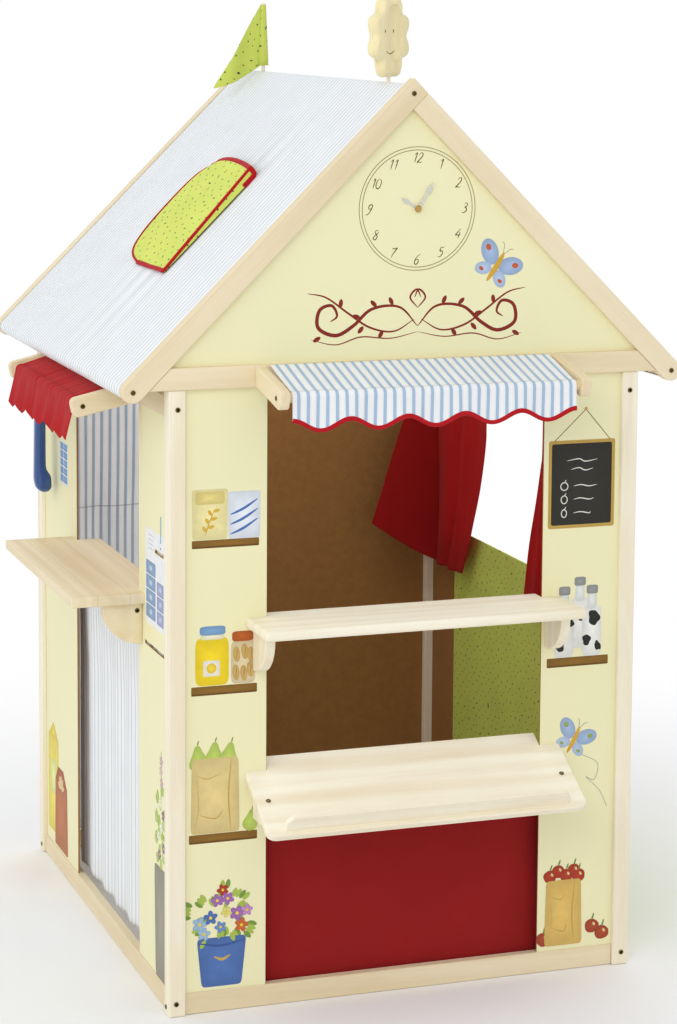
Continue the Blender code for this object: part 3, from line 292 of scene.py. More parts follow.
def object_place(tree):
    """The Object coordinates."""
    return node(tree, "ShaderNodeTexCoord").outputs["Object"]


def noise(tree, vector, scale, detail, **values):
    """A noise texture; gives its strength."""
    made = node(tree, "ShaderNodeTexNoise", {"Vector": vector}, {"Scale": scale, "Detail": detail, **values})
    return made.outputs["Fac"]


def smooth_between(tree, value, low, high):
    """0 below low, 1 above high, smooth between; value is a socket."""
    made = node(tree, "ShaderNodeMapRange", {"Value": value}, {"From Min": low, "From Max": high},
                interpolation_type="SMOOTHSTEP")
    return made.outputs["Result"]


def make_grain():
    """Wood grain along the vector's X: long streaks, fine fibres and a slow drift of tone."""
    tree, source, out = start_group("wood grain", [("Vector", VECTOR, None), ("Streaks", FLOAT, 26.0),
                                                   ("Seed", FLOAT, 0.0)],
                                    [("Tone", FLOAT), ("Height", FLOAT)])
    moved = node(tree, "ShaderNodeCombineXYZ", {axis: source["Seed"] for axis in "XYZ"})
    place = vector_node(tree, "ADD", source["Vector"], moved.outputs[0])
    long_way = vector_node(tree, "MULTIPLY", place, (0.055, 1.0, 1.0))
    streaks = node(tree, "ShaderNodeTexNoise", {"Vector": long_way, "Scale": source["Streaks"]},
                   {"Detail": 5.0, "Roughness": 0.62, "Distortion": 0.6}).outputs["Fac"]
    fibres = noise(tree, long_way, 420.0, 3.0, Roughness=0.6)
    rings = node(tree, "ShaderNodeTexWave", {"Vector": long_way},
                 {"Scale": 9.0, "Distortion": 7.0, "Detail": 2.0, "Detail Scale": 1.2},
                 wave_type="BANDS", bands_direction="Y").outputs["Fac"]
    tone = 0.0
    patches = noise(tree, place, 4.0, 2.0)
    for part, weight in ((streaks, 0.55), (fibres, 0.22), (rings, 0.13), (patches, 0.24)):
        tone = math_node(tree, "MULTIPLY_ADD", part, weight, tone)
    tree.links.new(smooth_between(tree, tone, 0.32, 0.80), out["Tone"])
    tree.links.new(math_node(tree, "MULTIPLY_ADD", fibres, 0.7, streaks), out["Height"])


def make_weave():
    """Plain weave: crossed threads of a pitch, with slubs and slow shade changes."""
    tree, source, out = start_group("weave", [("Vector", VECTOR, None), ("Pitch", FLOAT, 0.0011)],
                                    [("Height", FLOAT), ("Tone", FLOAT)])
    parts = node(tree, "ShaderNodeSeparateXYZ", {0: source["Vector"]})
    threads = []
    for axis in ("X", "Y"):
        phase = math_node(tree, "DIVIDE", parts.outputs[axis], source["Pitch"])
        threads.append(math_node(tree, "SINE", math_node(tree, "MULTIPLY", phase, 2 * math.pi)))
    crossed = math_node(tree, "MULTIPLY", *threads)
    slubs = noise(tree, vector_node(tree, "MULTIPLY", source["Vector"], (60.0, 900.0, 1.0)), 1.0, 2.0)
    cloud = noise(tree, source["Vector"], 14.0, 4.0)
    tree.links.new(math_node(tree, "MULTIPLY_ADD", slubs, 1.2, crossed), out["Height"])
    tone = math_node(tree, "MULTIPLY_ADD", slubs, 0.5, math_node(tree, "MULTIPLY", cloud, 0.6))
    tree.links.new(smooth_between(tree, tone, 0.3, 0.8), out["Tone"])


def make_stripes():
    """Ticking stripes across the vector's X: a broad band with a thin line at each side."""
    tree, source, out = start_group("stripes", [("Vector", VECTOR, None), ("Pitch", FLOAT, 0.0134),
                                                ("Band", FLOAT, 0.2)], [("Mask", FLOAT)])
    parts = node(tree, "ShaderNodeSeparateXYZ", {0: source["Vector"]})
    phase = math_node(tree, "FRACT", math_node(tree, "DIVIDE", parts.outputs["X"], source["Pitch"]))
    away = math_node(tree, "ABSOLUTE", math_node(tree, "SUBTRACT", phase, 0.5))
    away = math_node(tree, "MULTIPLY_ADD", noise(tree, source["Vector"], 180.0, 2.0), 0.03, away)
    band = math_node(tree, "SUBTRACT", 1.0, math_node(tree, "DIVIDE", away, source["Band"]), clamp=True)
    band = math_node(tree, "MULTIPLY", band, 4.0, clamp=True)
    line_place = math_node(tree, "MULTIPLY", source["Band"], 1.45)
    line = math_node(tree, "ABSOLUTE", math_node(tree, "SUBTRACT", away, line_place))
    line = math_node(tree, "LESS_THAN", line, 0.022)
    tree.links.new(math_node(tree, "MAXIMUM", band, math_node(tree, "MULTIPLY", line, 0.15)), out["Mask"])


def make_dots():
    """Small dots over the vector's X and Y, on a staggered lattice of a pitch that noise bends."""
    tree, source, out = start_group("dots", [("Vector", VECTOR, None), ("Pitch", FLOAT, 0.019),
                                             ("Radius", FLOAT, 0.0016)], [("Mask", FLOAT)])
    stray = node(tree, "ShaderNodeTexNoise", {"Vector": source["Vector"]}, {"Scale": 26.0, "Detail": 1.0})
    strayed = vector_node(tree, "MULTIPLY_ADD", stray.outputs["Color"], (0.034, 0.034, 0.0), source["Vector"])
    per_pitch = math_node(tree, "DIVIDE", 1.0, source["Pitch"])
    scaled = node(tree, "ShaderNodeVectorMath", {0: strayed, "Scale": per_pitch},
                  operation="SCALE").outputs[0]
    masks = []
    for shift in (0.0, 0.5):
        cell = vector_node(tree, "FRACTION", vector_node(tree, "ADD", scaled, (shift, shift, 0.0)))
        apart = vector_node(tree, "SUBTRACT", cell, (0.5, 0.5, 0.0))
        flat = vector_node(tree, "MULTIPLY", apart, (1.0, 1.0, 0.0))
        away = math_node(tree, "MULTIPLY", distance(tree, flat), source["Pitch"])
        masks.append(math_node(tree, "LESS_THAN", away, source["Radius"]))
    tree.links.new(math_node(tree, "MAXIMUM", *masks), out["Mask"])


finishes = {}


def start_material(name, roughness, **values):
    """A material with its Principled shader; constants go straight on its sockets."""
    mat = bpy.data.materials.new(name)
    finishes[name] = mat
    mat.use_nodes = True
    shader = mat.node_tree.nodes["Principled BSDF"]
    shader.inputs["Roughness"].default_value = roughness
    for key, value in values.items():
        shader.inputs[key.replace("_", " ")].default_value = value
    return mat, mat.node_tree, shader


def place_group(tree, group, links, values):
    """Puts a shared effect into a material."""
    return node(tree, "ShaderNodeGroup", links, values, node_tree=bpy.data.node_groups[group])


def mix_colour(tree, factor, first, second, blend="MIX"):
    """Mix of two colours, each a tuple or a socket, by a factor that is a number or a socket."""
    made = node(tree, "ShaderNodeMix", data_type="RGBA", blend_type=blend)
    sockets = [made.inputs["Factor"]] + [socket for socket in made.inputs if socket.type == "RGBA"]
    for socket, item in zip(sockets, (factor, first, second)):
        if isinstance(item, bpy.types.NodeSocket):
            tree.links.new(item, socket)
        else:
            socket.default_value = (*item[:3], 1.0) if socket.type == "RGBA" else item
    return [socket for socket in made.outputs if socket.type == "RGBA"][0]


def bump(tree, shader, height, strength, distance):
    """Feeds a height into the shader's normal."""
    made = node(tree, "ShaderNodeBump", {"Height": height}, {"Strength": strength, "Distance": distance})
    tree.links.new(made.outputs["Normal"], shader.inputs["Normal"])


def rough_between(tree, shader, value, low, high):
    """Feeds a value from 0 to 1 into the shader's roughness, between two levels."""
    rough = node(tree, "ShaderNodeMapRange", {"Value": value}, {"To Min": low, "To Max": high})
    tree.links.new(rough.outputs["Result"], shader.inputs["Roughness"])


def tinted(base, factor):
    """A colour times a factor, kept below 1."""
    return tuple(min(1.0, channel * factor) for channel in base)


def wood_finish(name, base, turn=(0.0, 0.0, 0.0), seed=0.0, joints=None):
    """Oiled wood with its grain along the axis that the turn brings to X; joints marks glued staves."""
    mat, tree, shader = start_material(name, 0.55, Specular_IOR_Level=0.35)
    mapping = node(tree, "ShaderNodeMapping", {"Vector": object_place(tree)}, {"Rotation": turn})
    grain = place_group(tree, "wood grain", {"Vector": mapping.outputs[0]}, {"Seed": seed})
    dark = (base[0] * 0.88, base[1] * 0.82, base[2] * 0.72)
    tone = grain.outputs["Tone"]
    shadow = None
    if joints:
        tone, shadow = stave_tone(tree, mapping, tone, *joints)
    final = mix_colour(tree, tone, dark, tinted(base, 1.02))
    if shadow is not None:
        final = mix_colour(tree, shadow, final, tinted(dark, 0.7))
    tree.links.new(final, shader.inputs["Base Color"])
    rough_between(tree, shader, grain.outputs["Tone"], 0.62, 0.5)
    bump(tree, shader, grain.outputs["Height"], 0.25, 0.0004)
    return mat


JOINT_LINE = 0.0006


def stave_tone(tree, mapping, tone, width, start):
    """Gives each glued stave its own tone and a thin joint line across the mapped Y."""
    parts = node(tree, "ShaderNodeSeparateXYZ", {0: mapping.outputs[0]})
    across = math_node(tree, "DIVIDE", math_node(tree, "SUBTRACT", parts.outputs["Y"], start), width)
    stave = math_node(tree, "FLOOR", across)
    own = node(tree, "ShaderNodeTexWhiteNoise", {"W": stave}, noise_dimensions="1D")
    own = math_node(tree, "SUBTRACT", own.outputs["Value"], 0.5)
    tone = math_node(tree, "MULTIPLY_ADD", own, 0.5, tone, clamp=True)
    edge = math_node(tree, "ABSOLUTE", math_node(tree, "SUBTRACT", math_node(tree, "FRACT", across), 0.5))
    line = math_node(tree, "GREATER_THAN", edge, 0.5 - JOINT_LINE / width)
    return tone, math_node(tree, "MULTIPLY", line, 0.5)


PAINT_DEPTH = 0.0006


def panel_finish(name, axis, outer, sign, colours):
    """Panel painted outside and bare hardboard inside, split at a depth behind its outer face."""
    mat, tree, shader = start_material(name, 0.48, Specular_IOR_Level=0.3)
    coords = object_place(tree)
    parts = node(tree, "ShaderNodeSeparateXYZ", {0: coords})
    depth = math_node(tree, "MULTIPLY", math_node(tree, "SUBTRACT", outer, parts.outputs[axis]), sign)
    inside = math_node(tree, "GREATER_THAN", depth, PAINT_DEPTH)
    cloud = noise(tree, coords, 3.5, 4.0)
    fine = noise(tree, coords, 300.0, 2.0)
    blotch = noise(tree, coords, 60.0, 6.0, Roughness=0.7)
    paint = mix_colour(tree, cloud, tinted(colours.panel, 0.965), tinted(colours.panel, 1.02))
    board = mix_colour(tree, smooth_between(tree, blotch, 0.3, 0.72),
                       tinted(colours.hardboard, 0.9), tinted(colours.hardboard, 1.06))
    tree.links.new(mix_colour(tree, inside, paint, board), shader.inputs["Base Color"])
    tree.links.new(math_node(tree, "MULTIPLY_ADD", inside, 0.3, 0.45), shader.inputs["Roughness"])
    height = math_node(tree, "MULTIPLY_ADD", math_node(tree, "MULTIPLY", inside, blotch), 2.0, fine)
    bump(tree, shader, height, 0.08, 0.0005)
    return mat


def stitched(tree, uv, seams):
    """Mask of dashed stitch lines across V at the given runs from the cloth's first edge."""
    parts = node(tree, "ShaderNodeSeparateXYZ", {0: uv})
    dash = math_node(tree, "FRACT", math_node(tree, "DIVIDE", parts.outputs["X"], 0.0034))
    dash = math_node(tree, "MULTIPLY_ADD", math_node(tree, "LESS_THAN", dash, 0.72), 0.6, 0.4)
    mask = 0.0
    for seam in seams:
        away = math_node(tree, "ABSOLUTE", math_node(tree, "SUBTRACT", parts.outputs["Y"], seam))
        near = math_node(tree, "SUBTRACT", 1.0, smooth_between(tree, away, 0.0004, 0.0016))
        mask = math_node(tree, "MAXIMUM", near, mask)
    return math_node(tree, "MULTIPLY", mask, math_node(tree, "MULTIPLY", dash, 0.6))


def cloth_material(name, colour_of, roughness=0.85, weave=0.0011, strength=0.35, sheen=0.06, through=0.08,
                   seams=(), thread=(150, 144, 148)):
    """Woven cloth on its UV map in metres; colour_of(tree, uv) gives the colour before the weave's tone.

    through is the share of light that the cloth lets pass, seams are the runs of its stitch lines and
    thread is their colour.
    """
    mat, tree, shader = start_material(name, roughness, Sheen_Weight=sheen, Sheen_Roughness=0.5,
                                       Specular_IOR_Level=0.2)
    uv = node(tree, "ShaderNodeUVMap").outputs["UV"]
    threads = place_group(tree, "weave", {"Vector": uv}, {"Pitch": weave})
    tone = grey_between(tree, threads.outputs["Tone"], 0.94, 1.0)
    final = mix_colour(tree, 1.0, colour_of(tree, uv), tone, "MULTIPLY")
    if seams:
        final = mix_colour(tree, stitched(tree, uv, seams), final, shade(*thread))
    tree.links.new(final, shader.inputs["Base Color"])
    passing = node(tree, "ShaderNodeBsdfTranslucent", {"Color": final})
    both = node(tree, "ShaderNodeMixShader", {1: shader.outputs[0], 2: passing.outputs[0]}, {0: through})
    tree.links.new(both.outputs[0], tree.nodes["Material Output"].inputs["Surface"])
    bump(tree, shader, threads.outputs["Height"], strength, 0.0003)
    return mat


def grey_between(tree, value, low, high):
    """A grey between two levels."""
    ramp = node(tree, "ShaderNodeValToRGB", {"Fac": value})
    ramp.color_ramp.elements[0].color = (low, low, low, 1)
    ramp.color_ramp.elements[1].color = (high, high, high, 1)
    return ramp.outputs["Color"]


def plain(base):
    """Colour function of an even cloth."""
    def colour_of(tree, uv):
        return mix_colour(tree, noise(tree, uv, 9.0, 3.0), tinted(base, 0.9), tinted(base, 1.04))
    return colour_of


def striped(ground, line, pitch, band):
    """Colour function of a striped cloth, its stripes running along V."""
    def colour_of(tree, uv):
        stripes = place_group(tree, "stripes", {"Vector": uv}, {"Pitch": pitch, "Band": band})
        return mix_colour(tree, stripes.outputs["Mask"], ground, line)
    return colour_of


def dotted(ground, dot, pitch, radius):
    """Colour function of a dotted cloth."""
    def colour_of(tree, uv):
        dots = place_group(tree, "dots", {"Vector": uv}, {"Pitch": pitch, "Radius": radius})
        base = mix_colour(tree, noise(tree, uv, 12.0, 3.0), tinted(ground, 0.9), tinted(ground, 1.06))
        return mix_colour(tree, dots.outputs["Mask"], base, dot)
    return colour_of


# Finishes of the solids

GRAIN_X = (0.0, 0.0, 0.0)
GRAIN_Y = (0.0, 0.0, math.pi / 2)
GRAIN_Z = (0.0, math.pi / 2, 0.0)
SLOPE_LEFT = (0.0, math.pi / 4, 0.0)
SLOPE_RIGHT = (0.0, -math.pi / 4, 0.0)

WOOD_NODES = {
    "posts": ("post_wood", GRAIN_Z, ["post_front_left", "post_front_right", "post_back_left",
                                     "post_back_right"]),
    "cross_rails": ("pale_wood", GRAIN_X, ["rail_front", "rail_back", "tie_beam_front", "tie_beam_back",
                                           "front_rod", "door_rod"]),
    "long_rails": ("pale_wood", GRAIN_Y, ["rail_left", "rail_right", "top_rail_left", "top_rail_right",
                                          "ridge_bar", "eave_bar_left", "eave_bar_right", "side_rod",
                                          "stage_rod", "awning_frame_front", "counter_bracket_front",
                                          "counter_bracket_back"]),
    "left_rafters": ("pale_wood", SLOPE_LEFT, ["rafter_front_left", "rafter_back_left"]),
    "right_rafters": ("pale_wood", SLOPE_RIGHT, ["rafter_front_right", "rafter_back_right"]),
    "side_arms": ("pale_wood", GRAIN_X, ["awning_frame_side"]),
    "shelf_wood": ("post_wood", GRAIN_X, ["shelf_board", "tray_board"]),
    "small_brackets": ("post_wood", GRAIN_Z, ["shelf_bracket_left", "shelf_bracket_right",
                                              "tray_prop_left", "tray_prop_right"]),
}

PANELS = {
    "front_panels": ("Y", "panel_front_left", 0, -1, ["panel_front_left", "panel_front_right",
                                                      "gable_front"]),
    "back_panels": ("Y", "panel_back", 1, 1, ["panel_back", "gable_back"]),
    "left_panels": ("X", "panel_left_front", 0, -1, ["panel_left_front", "panel_left_back"]),
    "right_panels": ("X", "panel_right_front", 1, 1, ["panel_right_front", "panel_right_back"]),
}


def dress(nodes, mat):
    """Gives a finish to solids."""
    for name in nodes:
        mesh = frame["nodes"][name].data
        mesh.materials.clear()
        mesh.materials.append(mat)


def metal_finish(name, base, roughness):
    """Metal with fine wear in its roughness."""
    mat, tree, shader = start_material(name, roughness, Metallic=1.0)
    wear = noise(tree, object_place(tree), 700.0, 3.0)
    final = mix_colour(tree, wear, tinted(base, 0.75), tinted(base, 1.15))
    tree.links.new(final, shader.inputs["Base Color"])
    rough_between(tree, shader, wear, roughness - 0.08, roughness + 0.12)
    return mat


def plastic_finish(name, base, roughness, **values):
    """Moulded plastic with a faint texture."""
    mat, tree, shader = start_material(name, roughness, **values)
    coords = object_place(tree)
    final = mix_colour(tree, noise(tree, coords, 30.0, 3.0), tinted(base, 0.94), tinted(base, 1.05))
    tree.links.new(final, shader.inputs["Base Color"])
    bump(tree, shader, noise(tree, coords, 1500.0, 1.0), 0.05, 0.0001)
    return mat


def ink_finish(name, roughness=0.6):
    """Printed colours from the piece's tint, with the uneven strength of watercolour."""
    mat, tree, shader = start_material(name, roughness, Specular_IOR_Level=0.25)
    tint = node(tree, "ShaderNodeAttribute", attribute_name="tint", attribute_type="GEOMETRY")
    wash = grey_between(tree, noise(tree, object_place(tree), 55.0, 6.0, Roughness=0.65), 0.82, 1.1)
    final = mix_colour(tree, 1.0, tint.outputs["Color"], wash, "MULTIPLY")
    tree.links.new(final, shader.inputs["Base Color"])
    return mat


class PLAYSHOP_OT_finishes(bpy.types.Operator):
    """Makes the shared effects and dresses the wooden, painted and metal solids"""
    bl_idname = "playshop.finishes"
    bl_label = "Wood, panels and metal"

    def execute(self, context):
        colours = context.scene.playshop_colours
        for make in (make_grain, make_weave, make_stripes, make_dots):
            make()
        for k, (name, (base, turn, nodes)) in enumerate(WOOD_NODES.items()):
            dress(nodes, wood_finish(name, tuple(getattr(colours, base)), turn, 0.37 * (k + 1)))
        for name, (axis, node_name, side, sign, nodes) in PANELS.items():
            outer = float(corner(node_name, side)["XY".index(axis)])
            dress(nodes, panel_finish(name, axis, outer, sign, colours))
        start = float(corner("counter_board", 0)[0])
        width = float(corner("counter_board", 1)[0]) - start
        dress(["counter_board"], wood_finish("glued_board", tuple(colours.pale_wood), GRAIN_Y, 3.1,
                                             (width / 3, -start)))
        dress(["clock_spindle"], metal_finish("brass", shade(196, 164, 96), 0.32))
        dress(["handset_hook"], metal_finish("bronze", shade(112, 98, 62), 0.4))
        dress(["clock_hour_hand", "clock_minute_hand"],
              plastic_finish("clear_white", shade(238, 238, 228), 0.25, Transmission_Weight=0.35))
        ink_finish("ink")
        wood_finish("carved_wood", shade(242, 230, 184), GRAIN_Z, 5.3)
        plastic_finish("blue_shell", tuple(colours.blue_plastic), 0.22, Coat_Weight=0.4, Coat_Roughness=0.1)
        make_cloths(colours, context.scene.playshop_sizes)
        return {"FINISHED"}


def make_cloths(colours, sizes):
    """Finishes of all the sewn pieces."""
    white = tuple(colours.cloth_white)
    lime, dots = tuple(colours.lime), tuple(colours.dots)
    cloth_material("striped_cloth", striped(white, tuple(colours.stripe), sizes.stripe_pitch, 0.22),
                   through=0.1, seams=(0.119,))
    cloth_material("door_cloth", striped(white, shade(202, 213, 224), sizes.stripe_pitch, 0.22), through=0.5,
                   seams=(0.335,))
    cloth_material("pinstripe_cloth", striped(white, tuple(colours.pinstripe), sizes.pinstripe_pitch, 0.18))
    cloth_material("red_cloth", plain(tuple(colours.red)))
    # The stage curtains take the red cloths' colour times 1.7: painted light that brightens the shaded
    # curtains.
    cloth_material("curtain_cloth", plain(tinted(colours.red, 1.7)), through=0.45)
    cloth_material("gauze_cloth", plain(tuple(colours.awning_red)), strength=0.5, seams=(0.100,),
                   thread=(110, 14, 18))
    cloth_material("binding", plain(tuple(colours.binding)), weave=0.0008)
    cloth_material("lime_cloth", dotted(lime, dots, sizes.dot_pitch, 0.0016), through=0.15)
    # The flap takes the dotted cloth's lime times 1.16: painted light on the flap.
    cloth_material("flap_cloth", dotted(tinted(lime, 1.16), dots, sizes.dot_pitch, 0.0017), through=0.1)


# Roof cloth and flap

ROOF_BAR = 0.0153
EAVE = (corner("eave_bar_left", 0) + corner("eave_bar_left", 1)) / 2
RIDGE = (corner("ridge_bar", 0) + corner("ridge_bar", 1)) / 2
SLOPE = math.atan2(RIDGE[2] - EAVE[2], RIDGE[0] - EAVE[0])
OUTWARD = np.array((-math.sin(SLOPE), 0.0, math.cos(SLOPE)))
DOWNWARD = np.array((-math.cos(SLOPE), 0.0, -math.sin(SLOPE)))
ROOF_WRAP = math.radians(148)


def roof_section(per_slope=70):
    """Side view of the roof cloth as (x, z), its outward normals and the length along it."""
    upper = math.pi / 2 + SLOPE
    lower = math.pi / 2 - SLOPE
    left = np.linspace(upper + ROOF_WRAP, upper, 22)
    ridge = np.linspace(upper, lower, 14)
    right = np.linspace(lower, lower - ROOF_WRAP, 22)

    def ring(centre, angles):
        return centre + ROOF_BAR * np.column_stack((np.cos(angles), np.sin(angles)))

    eave_left, top = EAVE[[0, 2]], RIDGE[[0, 2]]
    eave_right = np.array((2 * top[0] - eave_left[0], eave_left[1]))
    share = np.linspace(0, 1, per_slope)[1:-1, None]
    arcs = ring(eave_left, left), ring(top, ridge), ring(eave_right, right)
    rise = arcs[0][-1] + (arcs[1][0] - arcs[0][-1]) * share
    fall = arcs[1][-1] + (arcs[2][0] - arcs[1][-1]) * share
    points = np.vstack((arcs[0], rise, arcs[1], fall, arcs[2]))
    angles = np.concatenate((left, np.full(len(rise), upper), ridge, np.full(len(fall), lower), right))
    steps = np.linalg.norm(np.diff(points, axis=0), axis=1)
    return points, np.column_stack((np.cos(angles), np.sin(angles))), np.concatenate(([0], np.cumsum(steps)))


class PLAYSHOP_OT_roof_cloth(bpy.types.Operator):
    """Makes the roof cloth: its side view carried along Y, with small folds down each slope"""
    bl_idname = "playshop.roof_cloth"
    bl_label = "Roof cloth"

    def execute(self, context):
        sizes = context.scene.playshop_sizes
        section, normals, run = roof_section()
        low, high = corner("roof_cloth", 0)[1], corner("roof_cloth", 1)[1]
        along = np.linspace(low, high, 240)
        share = (along - low) / (high - low)
        slope = np.abs(section[:, 0] - RIDGE[0]) / (RIDGE[0] - EAVE[0])
        taut = np.clip(4 * slope * (1 - np.clip(slope, 0, 1)), 0, 1)
        folds = 0.0007 * ripple(share, 11, 7, 9.0, 30.0)[None, :] * taut[:, None]
        folds += roof_pull(section, along)
        hem = 0.0005 * np.clip((slope - 0.948) / 0.01, 0, 1)[:, None]
        lift = folds + hem
        points = np.empty((len(section), len(along), 3))
        points[..., 0] = section[:, None, 0] + normals[:, None, 0] * lift
        points[..., 1] = along[None, :]
        points[..., 2] = section[:, None, 1] + normals[:, None, 1] * lift
        uv = np.stack(np.broadcast_arrays(along[None, :], run[:, None]), -1)
        obj = cloth_piece("roof_cover", points, uv, finishes["pinstripe_cloth"], "house", sizes.cloth)
        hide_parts("roof_cloth")
        return {"FINISHED"}


def roof_pull(section, along):
    """Folds that fan out above and below the roof flap, zero under it."""
    low, high = corner("roof_window_flap", 0), corner("roof_window_flap", 1)
    x = section[:, None, 0]
    y = along[None, :]
    left = x < RIDGE[0]
    above = np.clip((x - high[0] + 0.02) / 0.03, 0, 1) * np.exp(-np.clip(x - high[0], 0, 1) / 0.06)
    below = np.clip((low[0] + 0.03 - x) / 0.03, 0, 1) * np.exp(-np.clip(low[0] + 0.03 - x, 0, 1) / 0.09)
    waves = np.cos(2 * math.pi * (y - low[1]) / 0.022)
    across = np.exp(-((y - (low[1] + 0.035)) / 0.07) ** 2)
    deep = np.exp(-((y - (low[1] + 0.08)) / 0.10) ** 2)
    return np.where(left, 0.0013 * waves * (above * across + 1.3 * below * deep), 0.0)


FLAP_LENGTH = 0.243
FLAP_WIDTH = 0.335
FLAP_LIFT = 0.018
FLAP_CROWN = 1.4
FLAP_BULGE = 0.014


def flap_place(down, across, lift):
    """Points on the flap: down the slope, across from its rear hinge and lifted off the roof."""
    hinge = joint_place("flap_body")
    down, across, lift = (np.asarray(a, float)[..., None] for a in np.broadcast_arrays(down, across, lift))
    return hinge + DOWNWARD * down + np.array((0.0, -1.0, 0.0)) * across + OUTWARD * lift


def joint_place(body):
    """The point on a body's joint axis that the record gives."""
    joint = [joint for joint in frame["joints"] if joint["child"] == body][0]
    return np.array(joint["pos_m"], float)


def flap_rear(along):
    """Where the flap's rear edge lies: on the hinge in its middle, rounded at both ends."""
    return 0.05 * (1 - along) ** 12 + 0.0725 * (along ** 5 + along ** 25)


def flap_raise(along):
    """Lift of the front edge, higher at the upper end."""
    return FLAP_LIFT * (1 - 0.77 * along)


def flap_top(along, t):
    """Points of the flap's top for t from 0 at its rear edge to 1 at its front edge.

    The lift is a quarter sine with a faint ripple, and the upper edge swells towards the ridge by a
    parabola.
    """
    rear = flap_rear(along)
    down = FLAP_LENGTH * along - FLAP_BULGE * 4 * t * (1 - t) * (1 - along) ** 4
    across = rear + (FLAP_WIDTH - rear) * t ** FLAP_CROWN
    lift = flap_raise(along) * np.sin(t * math.pi / 2) + 0.0048 * np.sin(9 * along + 5 * t) * t * (1 - t)
    return down, across, np.maximum(lift, 0.0)


class PLAYSHOP_OT_roof_flap(bpy.types.Operator):
    """Makes the dotted flap over the roof window with its gusset and red binding"""
    bl_idname = "playshop.roof_flap"
    bl_label = "Roof flap"

    def execute(self, context):
        sizes = context.scene.playshop_sizes
        along = np.linspace(0, 1, 90)[:, None]
        down, across, lift = flap_top(along, np.linspace(0, 1, 50)[None, :])
        drop = np.linspace(0, 1, 10)[None, 1:]
        raised = flap_raise(along)
        gusset = flap_place(FLAP_LENGTH * along, FLAP_WIDTH - 0.001 * np.sin(math.pi * drop),
                            raised + (0.0008 - raised) * drop)
        points = np.concatenate((flap_place(down, across, lift), gusset), 1)
        uv = np.stack(np.broadcast_arrays(0.6 * np.concatenate((across, FLAP_WIDTH + raised * drop), 1),
                                          FLAP_LENGTH * along), -1)
        obj = cloth_piece("roof_flap", points, uv, finishes["flap_cloth"], "flap_body", sizes.cloth)
        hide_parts("roof_window_flap")
        self.bindings(along[:, 0])
        return {"FINISHED"}

    def bindings(self, along):
        """Binding round the flap and over its gusset's upper end, and a dark line at the gusset's foot:
        partly seam, partly painted shade where it meets the roof.
        """
        t = np.linspace(0, 1, 40)
        front = flap_place(FLAP_LENGTH * along, FLAP_WIDTH - 0.002, flap_raise(along) + 0.0003)
        down, across, _ = flap_top(along, 0.0)
        parts = [tube(front, (0.0030, 0.0032), 8, OUTWARD),
                 tube(flap_place(down, across + 0.002, 0.0020), (0.0024, 0.0016), 8, OUTWARD)]
        for level, half in ((0.0, 0.0052), (1.0, 0.0048)):
            down, across, lift = flap_top(level, t)
            end = flap_place(down, across, np.maximum(lift, 0.0024))
            parts.append(tube(end, (half, 0.0020), 8, OUTWARD))
        wrap = np.array(((0.0, FLAP_LIFT), (0.0, 0.012), (0.001, 0.0065), (0.006, 0.0040), (0.016, 0.0034),
                         (0.032, 0.0034)))
        parts.append(tube(flap_place(wrap[:, 0], FLAP_WIDTH + 0.0004, wrap[:, 1]), (0.0050, 0.0016), 8,
                          (0.0, -1.0, 0.0)))
        points, faces = merge(parts)
        binding = add_mesh("flap_binding", points, faces, finishes["binding"], "flap_body")
        # Dark line along the gusset's foot: partly its seam, partly painted shade in the gap where the gusset
        # meets the roof.
        foot = flap_place(FLAP_LENGTH * along[12:], FLAP_WIDTH + 0.0006, 0.0012)
        points, faces = tube(foot, (0.0009, 0.0009), 6, OUTWARD)
        seam = add_mesh("flap_seam", points, faces, finishes["ink"], "flap_body",
                        tint=np.tile(shade(96, 92, 44), (len(points), 1)))
        return [binding, seam]


# Awnings

FRONT_WALL = (np.array((1.0, 0, 0)), np.array((0, -1.0, 0)), np.array((MIDDLE_X, MIDDLE_Y - HALF_DEPTH, 0)))
LEFT_WALL = (np.array((0, -1.0, 0)), np.array((-1.0, 0, 0)), np.array((MIDDLE_X - HALF_WIDTH, MIDDLE_Y, 0)))

AWNING_BAR = 0.0102
FRONT_BAR = (0.1173, POST_TOP - 0.002)
FRONT_ROOT = (0.0035, POST_TOP + 0.0383)
SIDE_BAR = (0.0983, POST_TOP - 0.0516)
SIDE_ROOT = (-0.0025, POST_TOP - 0.0107)


def wall_place(wall, along, out, up):
    """Points from a wall's own measures: along it, out from the posts' faces, and up."""
    side, outward, origin = wall
    along, out, up = (np.asarray(a, float)[..., None] for a in np.broadcast_arrays(along, out, up))
    return origin + side * along + outward * out + np.array((0, 0, 1.0)) * up


